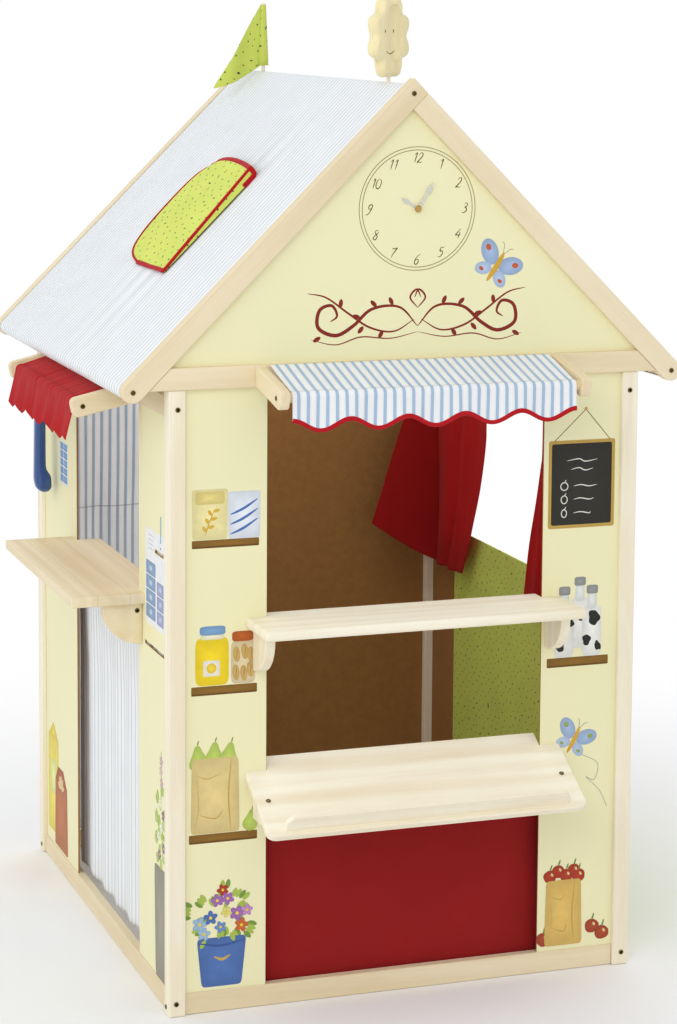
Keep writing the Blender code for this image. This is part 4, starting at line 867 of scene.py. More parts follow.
def awning_surface(wall, ends, bar, root, drop, flare, fold):
    """Points and UV of an awning cloth.

    Its side view is a line from its root on the wall to the bar, both as (out, up), an arc over the bar
    and a line down the valance, whose length drop(u) and lean flare(u) change along the wall. fold(u, s)
    moves it square to that, for s from 0 at the wall to 1 at the foot.
    """
    count = 260
    u = np.linspace(0, 1, count)[None, :]
    to_wall, rise = bar[0] - root[0], root[1] - bar[1]
    lean = math.atan2(rise - AWNING_BAR, to_wall)
    turn = np.linspace(math.pi / 2 + lean, 0, 12)
    arc_out, arc_up = AWNING_BAR * np.cos(turn), AWNING_BAR * np.sin(turn)
    slope = np.linspace(0, 1, 22)[:-1]
    first_out = -to_wall + (arc_out[0] + to_wall) * slope
    first_up = rise + (arc_up[0] - rise) * slope
    fall = np.linspace(0, 1, 22)[1:, None]
    last_out = AWNING_BAR + flare(u) * fall
    last_up = -drop(u) * fall
    out = np.vstack((np.broadcast_to(np.append(first_out, arc_out)[:, None], (33, count)), last_out))
    up = np.vstack((np.broadcast_to(np.append(first_up, arc_up)[:, None], (33, count)), last_up))
    run = np.cumsum(np.hypot(np.diff(out, axis=0), np.diff(up, axis=0)), 0)
    ahead = np.gradient(out, axis=0), np.gradient(up, axis=0)
    size = np.hypot(*ahead)
    shift = fold(u, np.linspace(0, 1, len(out))[:, None])
    out = out - shift * ahead[1] / size
    up = up + shift * ahead[0] / size
    along = ends[0] + (ends[1] - ends[0]) * u
    points = wall_place(wall, along, bar[0] + out, bar[1] + up)
    uv = np.stack(np.broadcast_arrays(along, np.pad(run, ((1, 0), (0, 0)))), -1)
    return points, uv


def crossing(wall, name):
    """How far an awning cloth's solid reaches along its wall."""
    side, _, origin = wall
    reach = [float(np.dot(corner(name, k) - origin, side)) for k in (0, 1)]
    return min(reach), max(reach)


class PLAYSHOP_OT_front_awning(bpy.types.Operator):
    """Makes the striped awning over the shop front: slope, bar and a waved, bound valance"""
    bl_idname = "playshop.front_awning"
    bl_label = "Front awning"

    def execute(self, context):
        sizes = context.scene.playshop_sizes
        ends = crossing(FRONT_WALL, "awning_cloth_front")
        waves = 5.0

        def drop(u):
            return 0.050 - 0.009 * np.cos(2 * math.pi * waves * u)

        def flare(u):
            return 0.0025 * np.cos(2 * math.pi * waves * u + 0.6)

        def fold(u, s):
            near_bar = np.exp(-((s - 0.36) / 0.2) ** 2)
            return 0.0016 * ripple(u, 5, 6, 5.0, 17.0) * near_bar * np.clip(s * 6, 0, 1)

        points, uv = awning_surface(FRONT_WALL, ends, FRONT_BAR, FRONT_ROOT, drop, flare, fold)
        obj = cloth_piece("front_awning_cloth", points, uv, finishes["striped_cloth"], "house", sizes.cloth)
        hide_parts("awning_cloth_front")
        foot = points[-1] + np.array((0, 0, 0.4 * sizes.binding_width))
        trim = add_mesh("front_awning_binding", *tube(foot, (0.0014, sizes.binding_width / 2), 8),
                        finishes["binding"], "house")
        return {"FINISHED"}


class PLAYSHOP_OT_side_awning(bpy.types.Operator):
    """Makes the red gauze awning over the counter: gathered slope, seam and a pointed valance"""
    bl_idname = "playshop.side_awning"
    bl_label = "Side awning"

    def execute(self, context):
        sizes = context.scene.playshop_sizes
        ends = crossing(LEFT_WALL, "awning_cloth_side")
        waves = 6.0

        def drop(u):
            tooth = np.abs(2 * np.mod(waves * (u + 0.014 * np.sin(15 * u)) + 0.3, 1.0) - 1)
            return 0.069 - 0.024 * tooth + 0.002 * ripple(u, 4, 4, 2.0, 8.0)

        def flare(u):
            return 0.012 + 0.005 * np.cos(2 * math.pi * waves * u + 0.9)

        def fold(u, s):
            near_bar = np.exp(-((s - 0.42) / 0.25) ** 2)
            return 0.0030 * ripple(u, 8, 9, 8.0, 34.0) * near_bar * np.clip(s * 6, 0, 1)

        points, uv = awning_surface(LEFT_WALL, ends, SIDE_BAR, SIDE_ROOT, drop, flare, fold)
        obj = cloth_piece("side_awning_cloth", points, uv, finishes["gauze_cloth"], "house", sizes.cloth)
        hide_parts("awning_cloth_side")
        return {"FINISHED"}


# Hanging cloths

SLEEVE = 0.0065
SLEEVE_ROWS = 12


def with_sleeve(along, out, up):
    """Turns the first row of a hanging cloth into a sleeve over its rod, and gives the running UV too."""
    turn = np.linspace(math.pi * 1.15, 0, SLEEVE_ROWS)[:, None]
    out = np.vstack((SLEEVE * np.cos(turn) + 0 * out[:1], out[1:]))
    up = np.vstack((SLEEVE * np.sin(turn) + 0 * up[:1], up[1:]))
    along = np.vstack((along[:1] + 0 * turn, along[1:]))
    down = np.cumsum(np.hypot(np.diff(out, axis=0), np.diff(up, axis=0)), 0)
    across = np.cumsum(np.hypot(np.diff(along, axis=1), np.diff(out, axis=1)), 1)
    uv = np.stack((np.pad(across, ((0, 0), (1, 0))), np.pad(down, ((1, 0), (0, 0)))), -1)
    return along, out, up, uv


def hanging_surface(ends, foot, depth, folds, seed, columns=240, rows=70):
    """Points and UV of a cloth hung from a rod, in its own frame: along, into the house, up.

    The depth of the folds at (u, v) is depth times a sine of the folds, bent by slow noise, and grows
    from the rod (v 0) to a third of the way down.
    """
    u = np.linspace(0, 1, columns)[None, :]
    v = np.linspace(0, 1, rows)[:, None]
    bend = 0.35 * ripple(u, seed, 4, 0.6, 2.2) + 0.12 * ripple(v, seed + 1, 3, 0.4, 1.2)
    wave = 0.5 - 0.5 * np.cos(2 * math.pi * (folds * u + bend))
    out = SLEEVE + depth * wave * np.clip(v * 3, 0, 1) ** 1.3
    return with_sleeve(ends[0] + (ends[1] - ends[0]) * u + 0 * v, out, foot * v + 0 * u)


def frame_points(side, inward, origin, along, out, up):
    """World points of a surface given along a side vector, into the house and up from an origin."""
    return np.asarray(origin) + np.asarray(side) * along[..., None] + np.asarray(inward) * out[..., None] \
        + np.array((0, 0, 1.0)) * up[..., None]


def rod_middle(name):
    """Middle of a rod's solid."""
    return (corner(name, 0) + corner(name, 1)) / 2


def hang(name, node_name, rod, side, inward, ends, finish, body, depth, folds, seed, thickness):
    """Makes and places one hanging cloth in the place of its solid."""
    origin = rod_middle(rod)
    foot = corner(node_name, 0)[2] - origin[2]
    along, out, up, uv = hanging_surface(ends, foot, depth, folds, seed)
    points = frame_points(side, inward, origin, along, out, up)
    obj = cloth_piece(name, points, uv, finishes[finish], body, thickness)
    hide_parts(node_name)


def reach(node_name, axis, rod):
    """Where a cloth's solid starts and ends along an axis, measured from its rod's middle."""
    middle = rod_middle(rod)[axis]
    return float(corner(node_name, 0)[axis] - middle), float(corner(node_name, 1)[axis] - middle)


SIDE_OVERHANG = 0.028


class PLAYSHOP_OT_hangings(bpy.types.Operator):
    """Makes the cloths below the tray and the counter and in the doorway"""
    bl_idname = "playshop.hangings"
    bl_label = "Hanging cloths"

    def execute(self, context):
        cloth = context.scene.playshop_sizes.cloth
        hang("front_hanging", "front_cloth", "front_rod", (1, 0, 0), (0, 1, 0),
             reach("front_cloth", 0, "front_rod"), "red_cloth", "house", 0.0035, 3, 21, cloth)
        low, high = reach("side_cloth", 1, "side_rod")
        hang("side_hanging", "side_cloth", "side_rod", (0, 1, 0), (1, 0, 0), (low, high + SIDE_OVERHANG),
             "pinstripe_cloth", "side_cloth_body", 0.0055, 6, 22, cloth)
        hang("door_hanging", "door_curtain", "door_rod", (1, 0, 0), (0, -1, 0),
             reach("door_curtain", 0, "door_rod"), "door_cloth", "door_curtain_body", 0.009, 5, 23,
             cloth)
        return {"FINISHED"}


def curtain_surface(ends, free_end, drop, folds, depth, seed, swing, columns=260, rows=80):
    """Points and UV of a stage curtain, in the frame of hanging_surface.

    u runs from the free end, which moves along the rod with v by free_end(v), to the bunched end. The
    swung part, from u 0.55 on, leaves the rod's line by swing times 0.4 (1 - e^-6v) + 0.6 v, and its hem
    rises with it.
    """
    u = np.linspace(0, 1, columns)[None, :]
    v = np.linspace(0, 1, rows)[:, None]
    gathered, swung = (np.minimum(u / 0.55, 1), np.clip((u - 0.55) / 0.45, 0, 1)) if swing else (u, 0 * u)
    first = ends[0] + free_end(v)
    along = first + (ends[1] - first) * (0.97 * gathered + 0.03 * (swung if swing else gathered ** 3))
    bend = 0.3 * ripple(gathered, seed, 3, 0.5, 1.6) + 0.10 * ripple(v, seed + 1, 3, 0.4, 1.2)
    wave = 0.5 - 0.5 * np.cos(2 * math.pi * (folds * gathered + bend))
    small = 0.0012 * ripple(gathered + 0.3 * v, seed + 2, 6, 3.0, 11.0)
    out = SLEEVE + (depth * wave * (1 - swung) + small) * np.clip(v * 3, 0, 1) ** 1.3
    out = out + swing * (0.4 * (1 - np.exp(-6 * v)) + 0.6 * v) * swung ** 1.2
    return with_sleeve(along, out, drop * v * (1 - 0.20 * swung ** 1.5 * v))


REAR_SWING = 0.150


class PLAYSHOP_OT_stage_curtains(bpy.types.Operator):
    """Makes the two gathered curtains of the puppet stage, the rear one swung into the house"""
    bl_idname = "playshop.stage_curtains"
    bl_label = "Stage curtains"

    def execute(self, context):
        cloth = context.scene.playshop_sizes.cloth
        origin = rod_middle("stage_rod")
        for label, folds, swing in (("front", 3, 0.0), ("back", 2, REAR_SWING)):
            node_name = "stage_curtain_" + label
            low, high = reach(node_name, 1, "stage_rod")
            ends = (low, high) if swing else (high, low)

            def free_end(v, rear=bool(swing)):
                if rear:
                    return 0.022 + 0.115 * np.clip((v - 0.3) / 0.7, 0, 1) ** 1.6
                return -0.073 + 0.076 * np.clip((v - 0.3) / 0.7, 0, 1)

            drop = corner(node_name, 0)[2] - origin[2]
            along, out, up, uv = curtain_surface(ends, free_end, drop, folds, 0.017, 31 + folds, swing)
            points = frame_points((0, 1, 0), (-1, 0, 0), origin, along, out, up)
            if not swing:
                points, uv = points[:, ::-1], uv[:, ::-1]
            obj = cloth_piece("curtain_" + label, points, uv, finishes["curtain_cloth"], node_name + "_body",
                              cloth)
            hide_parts(node_name)
        return {"FINISHED"}


class PLAYSHOP_OT_stage_cloth(bpy.types.Operator):
    """Makes the dotted cloth below the puppet stage, taut over the panels' outer faces, with its hem"""
    bl_idname = "playshop.stage_cloth"
    bl_label = "Stage cloth"

    def execute(self, context):
        sizes = context.scene.playshop_sizes
        low, high = corner("stage_cloth", 0), corner("stage_cloth", 1)
        y = np.linspace(low[1], high[1], 160)[None, :]
        near, far = low[0] + sizes.cloth / 2, high[0] - sizes.cloth / 2
        turned_over = 0.050
        down = np.linspace(low[2], high[2] - 0.002, 60)[:, None]
        turn = np.linspace(math.pi, 0, 7)[:, None]
        half = (far - near) / 2
        over_x, over_z = (near + far) / 2 + half * np.cos(turn), high[2] - 0.0016 + half * np.sin(turn)
        back = np.linspace(high[2] - 0.0016, high[2] - turned_over, 10)[1:, None]
        x = np.vstack((near + 0 * down, over_x[1:], far + 0 * back)) + 0 * y
        z = np.vstack((down, over_z[1:], back)) + 0 * y
        points = np.stack((x, np.broadcast_to(y, x.shape), z), -1)
        run = np.cumsum(np.hypot(np.diff(x, axis=0), np.diff(z, axis=0)), 0)
        uv = np.stack(np.broadcast_arrays(y, np.pad(run, ((1, 0), (0, 0)))), -1)
        obj = cloth_piece("stage_hanging", points, uv, finishes["lime_cloth"], "house", sizes.cloth)
        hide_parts("stage_cloth")
        return {"FINISHED"}


# Pennant

PEG = 0.0039
FLAG_LENGTH = 0.095
FLAG_DROOP = 0.046


class PLAYSHOP_OT_pennant(bpy.types.Operator):
    """Makes the dotted pennant that droops from its peg, with its hem round the peg"""
    bl_idname = "playshop.pennant"
    bl_label = "Pennant"

    def execute(self, context):
        sizes = context.scene.playshop_sizes
        high = corner("pennant", 1)
        place = joint_place("pennant_body")
        peg, foot = place[:2], place[2]
        hem = RIDGE[2] + ROOF_BAR + 0.012
        top = high[2] - 0.004
        u = np.linspace(0, 1, 70)[None, :]
        v = np.linspace(0, 1, 50)[:, None]
        out = FLAG_LENGTH * u
        tip = hem - FLAG_DROOP
        upper = top + (tip + 0.003 - top) * u
        lower = hem + (tip - hem) * u - 0.006 * np.sin(math.pi * u)
        z = lower + (upper - lower) * v
        sway = 0.010 * np.sin(2 * math.pi * (u * 1.15 + 0.1 * v)) * u
        points = np.stack((peg[0] - 0.0052 - out + 0 * v, peg[1] + sway + 0.0 * v, z), -1)
        uv = np.stack(np.broadcast_arrays(out, z), -1)
        obj = cloth_piece("flag", points, uv, finishes["lime_cloth"], "pennant_body", sizes.cloth)
        around, faces = lathe([(0.0046, 0), (0.0106, 0.0004), (0.0100, 0.02), (0.0056, top - hem - 0.004),
                               (0.0046, top - hem)], 20)
        sleeve_uv = np.column_stack((np.arctan2(around[:, 1], around[:, 0]) * 0.0055, around[:, 2]))
        sleeve = add_mesh("flag_sleeve", around + np.array((*peg, hem)), faces, finishes["lime_cloth"],
                          "pennant_body", sleeve_uv)
        around, faces = lathe([(PEG, 0), (PEG, top - foot + 0.002), (0.0030, top - foot + 0.0036)], 16)
        stick = add_mesh("flag_peg", around + place, faces, finishes["posts"], "pennant_body")
        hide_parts("pennant")
        return {"FINISHED"}


# Sun and handset

SUN_MIDDLE = 0.0709
SUN_HALF = 0.011
SUN_RADIUS = 0.0688
SUN_RAY = 0.0069
SUN_RAYS = 8
SUN_FOOT = 0.0715


class PLAYSHOP_OT_sun(bpy.types.Operator):
    """Carves the sun: a waved rim round a hollow face with eyes and a smile, on its peg"""
    bl_idname = "playshop.sun"
    bl_label = "Sun"

    def execute(self, context):
        place = joint_place("sun_body")
        middle = np.array((place[0], place[1], corner("sun", 1)[2] - SUN_MIDDLE))
        across = np.array((1, 1, 0)) / math.sqrt(2)
        ahead = np.array((1, -1, 0)) / math.sqrt(2)
        turn = np.linspace(0, 2 * math.pi, 216, endpoint=False)[None, :]
        share = np.concatenate((np.linspace(0.04, 0.90, 40), np.linspace(0.915, 1, 12)))[:, None]
        rim = SUN_RADIUS - SUN_RAY * np.cos(SUN_RAYS * turn)
        below = SUN_FOOT / np.maximum(-np.sin(turn), 0.2)
        rim = np.where(np.abs(turn - 1.5 * math.pi) < 0.42, below, np.minimum(rim, below))
        radius = rim * share
        x, z = radius * np.cos(turn), radius * np.sin(turn)
        plate = middle + across * x[..., None] + np.array((0, 0, 1.0)) * z[..., None]
        height = SUN_HALF * (1 - np.clip((share - 0.86) / 0.14, 0, 1) ** 2.6)
        carved = self.carved(x, z, turn, share)
        front, back = (plate + ahead * side[..., None] for side in (height - carved, 0.2 * carved - height))
        points, faces = closed_rings(np.concatenate((front, back[::-1][1:])))
        obj = add_mesh("sun_disc", points, faces, finishes["carved_wood"], "sun_body")
        stick, faces = lathe([(PEG, 0), (PEG, middle[2] - 0.058 - place[2])], 16)
        peg = add_mesh("sun_peg", stick + place, faces, finishes["posts"], "sun_body")
        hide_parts("sun")
        self.features(middle, across, ahead)
        return {"FINISHED"}

    @staticmethod
    def hollow(x, z):
        """How far inside the egg-shaped face a point lies: 1 in its middle, 0 from its rim on."""
        narrow = 0.041 - 0.10 * np.clip(-z - 0.008, 0, 1)
        return np.clip(1 - (x / np.maximum(narrow, 0.004)) ** 2 - ((z - 0.004) / 0.051) ** 2, 0, 1)

    def carved(self, x, z, turn, share):
        """Depth carved away: the hollow face less its nose and cheeks, and the valleys between the rays."""
        face = self.hollow(x, z)
        nose = 0.0018 * np.exp(-(x / 0.004) ** 2 - ((z + 0.006) / 0.010) ** 2)
        cheeks = 0.0012 * np.exp(-((np.abs(x) - 0.018) / 0.008) ** 2 - ((z + 0.014) / 0.009) ** 2)
        valley = (0.5 + 0.5 * np.cos(SUN_RAYS * turn)) ** 4 * np.clip((share - 0.66) / 0.3, 0, 1)
        return 0.0105 * face ** 0.42 - (nose + cheeks) * np.minimum(face * 4, 1) + 0.0022 * valley

    def features(self, middle, across, ahead):
        """Burnt eyes and smile in the hollow of the front face, as paths with a thickness."""
        parts = [(np.array(((0.017 * side, 0.006), (0.017 * side, 0.0085), (0.0168 * side, 0.011))), 0.0012)
                 for side in (-1, 1)]
        bend = np.linspace(-1, 1, 15)
        parts.append((np.column_stack((0.016 * bend, -0.031 + 0.005 * bend ** 2)), 0.0008))
        bodies = []
        for path, thick in parts:
            depth = SUN_HALF - self.carved(path[:, 0], path[:, 1], 0.0, 0.0) - 0.0002
            place = middle + across * path[:, :1] + ahead * depth[:, None]
            place[:, 2] += path[:, 1]
            bodies.append(tube(place, (thick, thick), 8, ahead))
        points, faces = merge(bodies)
        obj = add_mesh("sun_face", points, faces, finishes["ink"], "sun_body",
                       tint=np.tile(shade(120, 78, 44), (len(points), 1)))


class PLAYSHOP_OT_handset(bpy.types.Operator):
    """Moulds the handset: rounded sections from cup to cup, thinner in the grip"""
    bl_idname = "playshop.handset"
    bl_label = "Handset"

    def execute(self, context):
        low, high = corner("handset", 0), corner("handset", 1)
        size = high - low
        up = np.concatenate(([0.0, 0.0012, 0.0035, 0.007], np.linspace(0.011, size[2] - 0.011, 90),
                             size[2] - np.array((0.007, 0.0035, 0.0012, 0.0))))
        near = np.minimum(up, size[2] - up)
        under_hook = np.interp(size[2] - up, (0, 0.0345, 0.0368, 0.055), (0, 0, 0.0122, 0.0115))
        over_cup = 0.0115 / (1 + np.exp(-(up - 0.040) / 0.0042))
        inner = np.where(up > size[2] / 2, under_hook, over_cup)
        outer = size[0] - 0.016 * up - 0.009 * np.clip(1 - near / 0.034, 0, 1) ** 2
        cap = np.sqrt(np.clip(1 - (1 - np.clip(near / 0.013, 0, 1)) ** 2, 0.02, 1))
        middle = (inner + outer) / 2
        half = (outer - inner) / 2 * cap
        wide = size[1] / 2 * (0.84 + 0.16 * np.clip(1 - (near - 0.02) / 0.03, 0, 1)) * cap
        turn = np.linspace(0, 2 * math.pi, 36, endpoint=False)[None, :]
        out = middle[:, None] + half[:, None] * np.sign(np.cos(turn)) * np.abs(np.cos(turn)) ** 0.75
        side = wide[:, None] * np.sign(np.sin(turn)) * np.abs(np.sin(turn)) ** 0.75
        rings = np.stack((high[0] - out, (low[1] + high[1]) / 2 - side, low[2] + up[:, None] + 0 * out), -1)
        points, faces = closed_rings(rings[:, ::-1])
        obj = add_mesh("handset_shell", points, faces, finishes["blue_shell"], "handset_body")
        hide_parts("handset")
        return {"FINISHED"}


# Printed pictures, in millimetres along and up a wall from the middle of the house

def closed(outline):
    """An outline turned so that it runs anticlockwise."""
    outline = np.asarray(outline, float)
    after = np.roll(outline, -1, axis=0)
    return outline if (outline[:, 0] * after[:, 1] - after[:, 0] * outline[:, 1]).sum() > 0 else outline[::-1]


def patch(outline, ink, layer=0, even=False):
    """A flat print, paler in its middle unless even: a fan on top and one below, joined by their side."""
    rim = closed(outline)
    count = len(rim)
    top = 0.12 + 0.07 * layer
    points = np.vstack((np.column_stack((rim, np.full(count, top))), np.column_stack((rim, np.zeros(count))),
                        [[*rim.mean(0), top], [*rim.mean(0), 0]]))
    k = np.arange(count)
    after = (k + 1) % count
    faces = np.stack((k, after, np.full(count, 2 * count)), -1).tolist()
    faces += np.stack((count + after, count + k, np.full(count, 2 * count + 1)), -1).tolist()
    faces += np.stack((k, count + k, count + after, after), -1).tolist()
    strength = np.full(len(points), 1.0 if even else 0.86)
    strength[2 * count] = 1.0 if even else 1.12
    return points, faces, np.clip(strength[:, None] * shade(*ink), 0, 1)


def smooth_path(points, count):
    """A path through points: cubic pieces whose tangents join each point's neighbours."""
    points = np.asarray(points, float)
    padded = np.vstack((2 * points[0] - points[1], points, 2 * points[-1] - points[-2]))
    t = np.linspace(0, len(points) - 1, count)
    k = np.minimum(t.astype(int), len(points) - 2)
    s = (t - k)[:, None]
    a, b, c, d = padded[k], padded[k + 1], padded[k + 2], padded[k + 3]
    square, cube = 2 * a - 5 * b + 4 * c - d, 3 * b - a - 3 * c + d
    return 0.5 * (2 * b + (c - a) * s + square * s ** 2 + cube * s ** 3)


def stroke(points, width, ink, layer=1, taper=True, count=20):
    """A pen stroke along a smooth path: four-sided rings, thinner at the ends when tapered."""
    path = smooth_path(points, count)
    along = np.gradient(path, axis=0)
    along /= np.linalg.norm(along, axis=1)[:, None]
    pen = np.sin(math.pi * np.linspace(0, 1, count)) ** 0.6 * 0.85 + 0.15 if taper else np.ones(count)
    aside = np.column_stack((-along[:, 1], along[:, 0])) * (width / 2 * pen)[:, None]
    top = np.full((count, 1), 0.12 + 0.07 * layer)
    rings = np.stack([np.hstack((path + sign * aside, level)) for sign, level in
                      ((-1, top), (1, top), (1, 0 * top), (-1, 0 * top))], 1)
    last = 4 * count - 4
    faces = grid_faces(count, 4, close_columns=True).tolist()
    faces += [[0, 1, 2, 3], [last + 3, last + 2, last + 1, last]]
    return rings.reshape(-1, 3), faces, np.tile(shade(*ink), (4 * count, 1))


def oval(x, z, a, b, turn=0.0, wobble=0.0, square=1.0, count=26):
    """Outline of an oval of half sizes a and b, turned in degrees; a lower square power makes it boxy."""
    t = np.linspace(0, 2 * math.pi, count, endpoint=False)
    r = 1 + wobble * (np.sin(3 * t + x) * 0.6 + np.sin(5 * t + z) * 0.4)
    u = a * r * np.sign(np.cos(t)) * np.abs(np.cos(t)) ** square
    v = b * r * np.sign(np.sin(t)) * np.abs(np.sin(t)) ** square
    c, s = math.cos(math.radians(turn)), math.sin(math.radians(turn))
    return np.column_stack((x + u * c - v * s, z + u * s + v * c))


def block(x0, z0, x1, z1, square=0.2, widen=1.0):
    """Outline of a box with rounded corners, its upper edge widened by a factor."""
    outline = oval((x0 + x1) / 2, (z0 + z1) / 2, (x1 - x0) / 2, (z1 - z0) / 2, square=square, count=36)
    share = (outline[:, 1] - z0) / (z1 - z0)
    outline[:, 0] = (x0 + x1) / 2 + (outline[:, 0] - (x0 + x1) / 2) * (1 + (widen - 1) * share)
    return outline


def card(x0, z0, x1, z1, ink, layer=0, square=0.2, widen=1.0):
    """A printed box with rounded corners."""
    return patch(block(x0, z0, x1, z1, square, widen), ink, layer)


def blob(x, z, a, b, ink, layer, turn=0.0, count=26, wobble=0.0):
    """A printed oval."""
    return patch(oval(x, z, a, b, turn, wobble, count=count), ink, layer)


def lifted(shapes, height):
    """Shapes moved off the panel."""
    return [(points + (0, 0, height), faces, tint) for points, faces, tint in shapes]


GREEN, DARK_GREEN, LIGHT_GREEN = (168, 190, 84), (120, 152, 66), (186, 206, 100)
RED_INK, WINE, ORANGE, YELLOW = (176, 62, 42), (134, 40, 26), (206, 104, 52), (240, 208, 66)
SKY, INK_BLUE, VIOLET, LILAC = (156, 186, 216), (82, 116, 178), (160, 108, 178), (158, 118, 160)
BROWN, PAPER, GOLD = (140, 102, 42), (226, 204, 140), (204, 168, 84)
LINE, NUMERAL = (124, 104, 64), (112, 92, 54)
WHITE_INK, PETAL_WHITE, CHALK = (240, 240, 234), (236, 238, 226), (226, 224, 212)
GREY_INK, DARK, ROSE = (150, 152, 150), (44, 44, 40), (206, 176, 190)


def plank(x0, x1, z0, z1):
    """A painted shelf with a darker lower edge."""
    return [card(x0, z0, x1, z1, BROWN, 0, 0.08),
            stroke([(x0 + 1, z0 + 2), (x1 - 1, z0 + 2)], 3.0, (108, 76, 30), 1, False, 6)]


def flower(x, z, size, ink):
    """Five petals round a yellow heart."""
    petals = [blob(x + 0.55 * size * math.cos(a), z + 0.55 * size * math.sin(a), 0.46 * size, 0.34 * size,
                   ink, 2, math.degrees(a), 14) for a in np.radians(np.arange(5) * 72 + 90 + x)]
    return petals + [blob(x, z, 0.24 * size, 0.24 * size, YELLOW, 3, count=10)]


def leaves(places, size, ink=GREEN, layer=1):
    """Pointed leaves at (x, z, turn)."""
    return [stroke([(x, z), (x + size * math.cos(math.radians(t)), z + size * math.sin(math.radians(t)))],
                   0.5 * size, ink, layer, True, 9) for x, z, t in places]


def fruit(x, z, size, ink):
    """A round fruit with a paler cheek and a stalk."""
    stalk = [(x, z + 0.8 * size), (x + 0.3 * size, z + 1.7 * size)]
    return [blob(x, z, size, size * 0.93, ink, 3, 0.0, 18, 0.05),
            blob(x + 0.3 * size, z + 0.25 * size, 0.18 * size, 0.28 * size, PAPER, 4, 30, 10),
            stroke(stalk, 0.22 * size, DARK_GREEN, 4, True, 8)]


def pear(x, z, size, turn=0.0):
    """A pear: an outline whose radius grows towards its foot."""
    t = np.linspace(0, 2 * math.pi, 24, endpoint=False)
    wide = 0.62 - 0.22 * np.sin(t) - 0.10 * np.sin(3 * t)
    c, s = math.cos(math.radians(turn)), math.sin(math.radians(turn))
    u, v = size * wide * np.cos(t), size * np.sin(t)
    stalk = [(x - s * size, z + c * size), (x - s * size + 3, z + c * size + 9)]
    return [patch(np.column_stack((x + u * c - v * s, z + u * s + v * c)), LIGHT_GREEN, 3),
            stroke(stalk, 2.2, DARK_GREEN, 4, True, 8)]


def paper_bag(x0, z0, x1, z1, ink):
    """A folded paper bag with creases."""
    middle = (x0 + x1) / 2
    return [card(x0, z0, x1, z1, ink, 1, 0.12, 0.92),
            stroke([(x1 - 16, z0 + 4), (x1 - 20, (z0 + z1) / 2), (x1 - 15, z1 - 3)], 3.0, (196, 166, 92), 2),
            stroke([(x0 + 8, z0 + 12), (x0 + 14, z0 + 50), (x0 + 10, z1 - 20)], 2.2, (206, 178, 106), 2),
            stroke([(x0 + 14, z0 + 34), (middle, z0 + 26), (x1 - 30, z0 + 40)], 2.0, (196, 160, 84), 2),
            stroke([(x0 + 12, z1 - 30), (x0 + 30, z1 - 36), (x1 - 34, z1 - 28)], 2.0, (200, 168, 96), 2)]


def butterfly(x, z, size, turn, spot):
    """Two pairs of wings with spots, a body and feelers, turned in degrees about its middle."""
    c, s = math.cos(math.radians(turn)), math.sin(math.radians(turn))
    matrix = np.array(((c, s), (-s, c))) * size

    def put(outline):
        return np.asarray(outline) @ matrix + (x, z)

    shapes = []
    for side in (-1, 1):
        feeler = [(side * 0.02, 0.40), (side * 0.10, 0.60), (side * 0.20, 0.66)]
        shapes += [patch(put(oval(side * 0.36, 0.24, 0.36, 0.24, side * 38)), (160, 182, 214), 1),
                   patch(put(oval(side * 0.28, -0.22, 0.24, 0.17, -side * 34)), (178, 198, 224), 2),
                   patch(put(oval(side * 0.46, 0.32, 0.09, 0.07, side * 30, count=12)), spot, 3),
                   patch(put(oval(side * 0.32, -0.26, 0.07, 0.05, count=12)), spot, 3),
                   stroke(put(feeler), 1.0, GREY_INK, 2)]
    body = put([(0, -0.46), (0.02, 0), (0, 0.44)])
    return shapes + [stroke(body, 0.15 * size, (214, 168, 62), 4, count=12)]


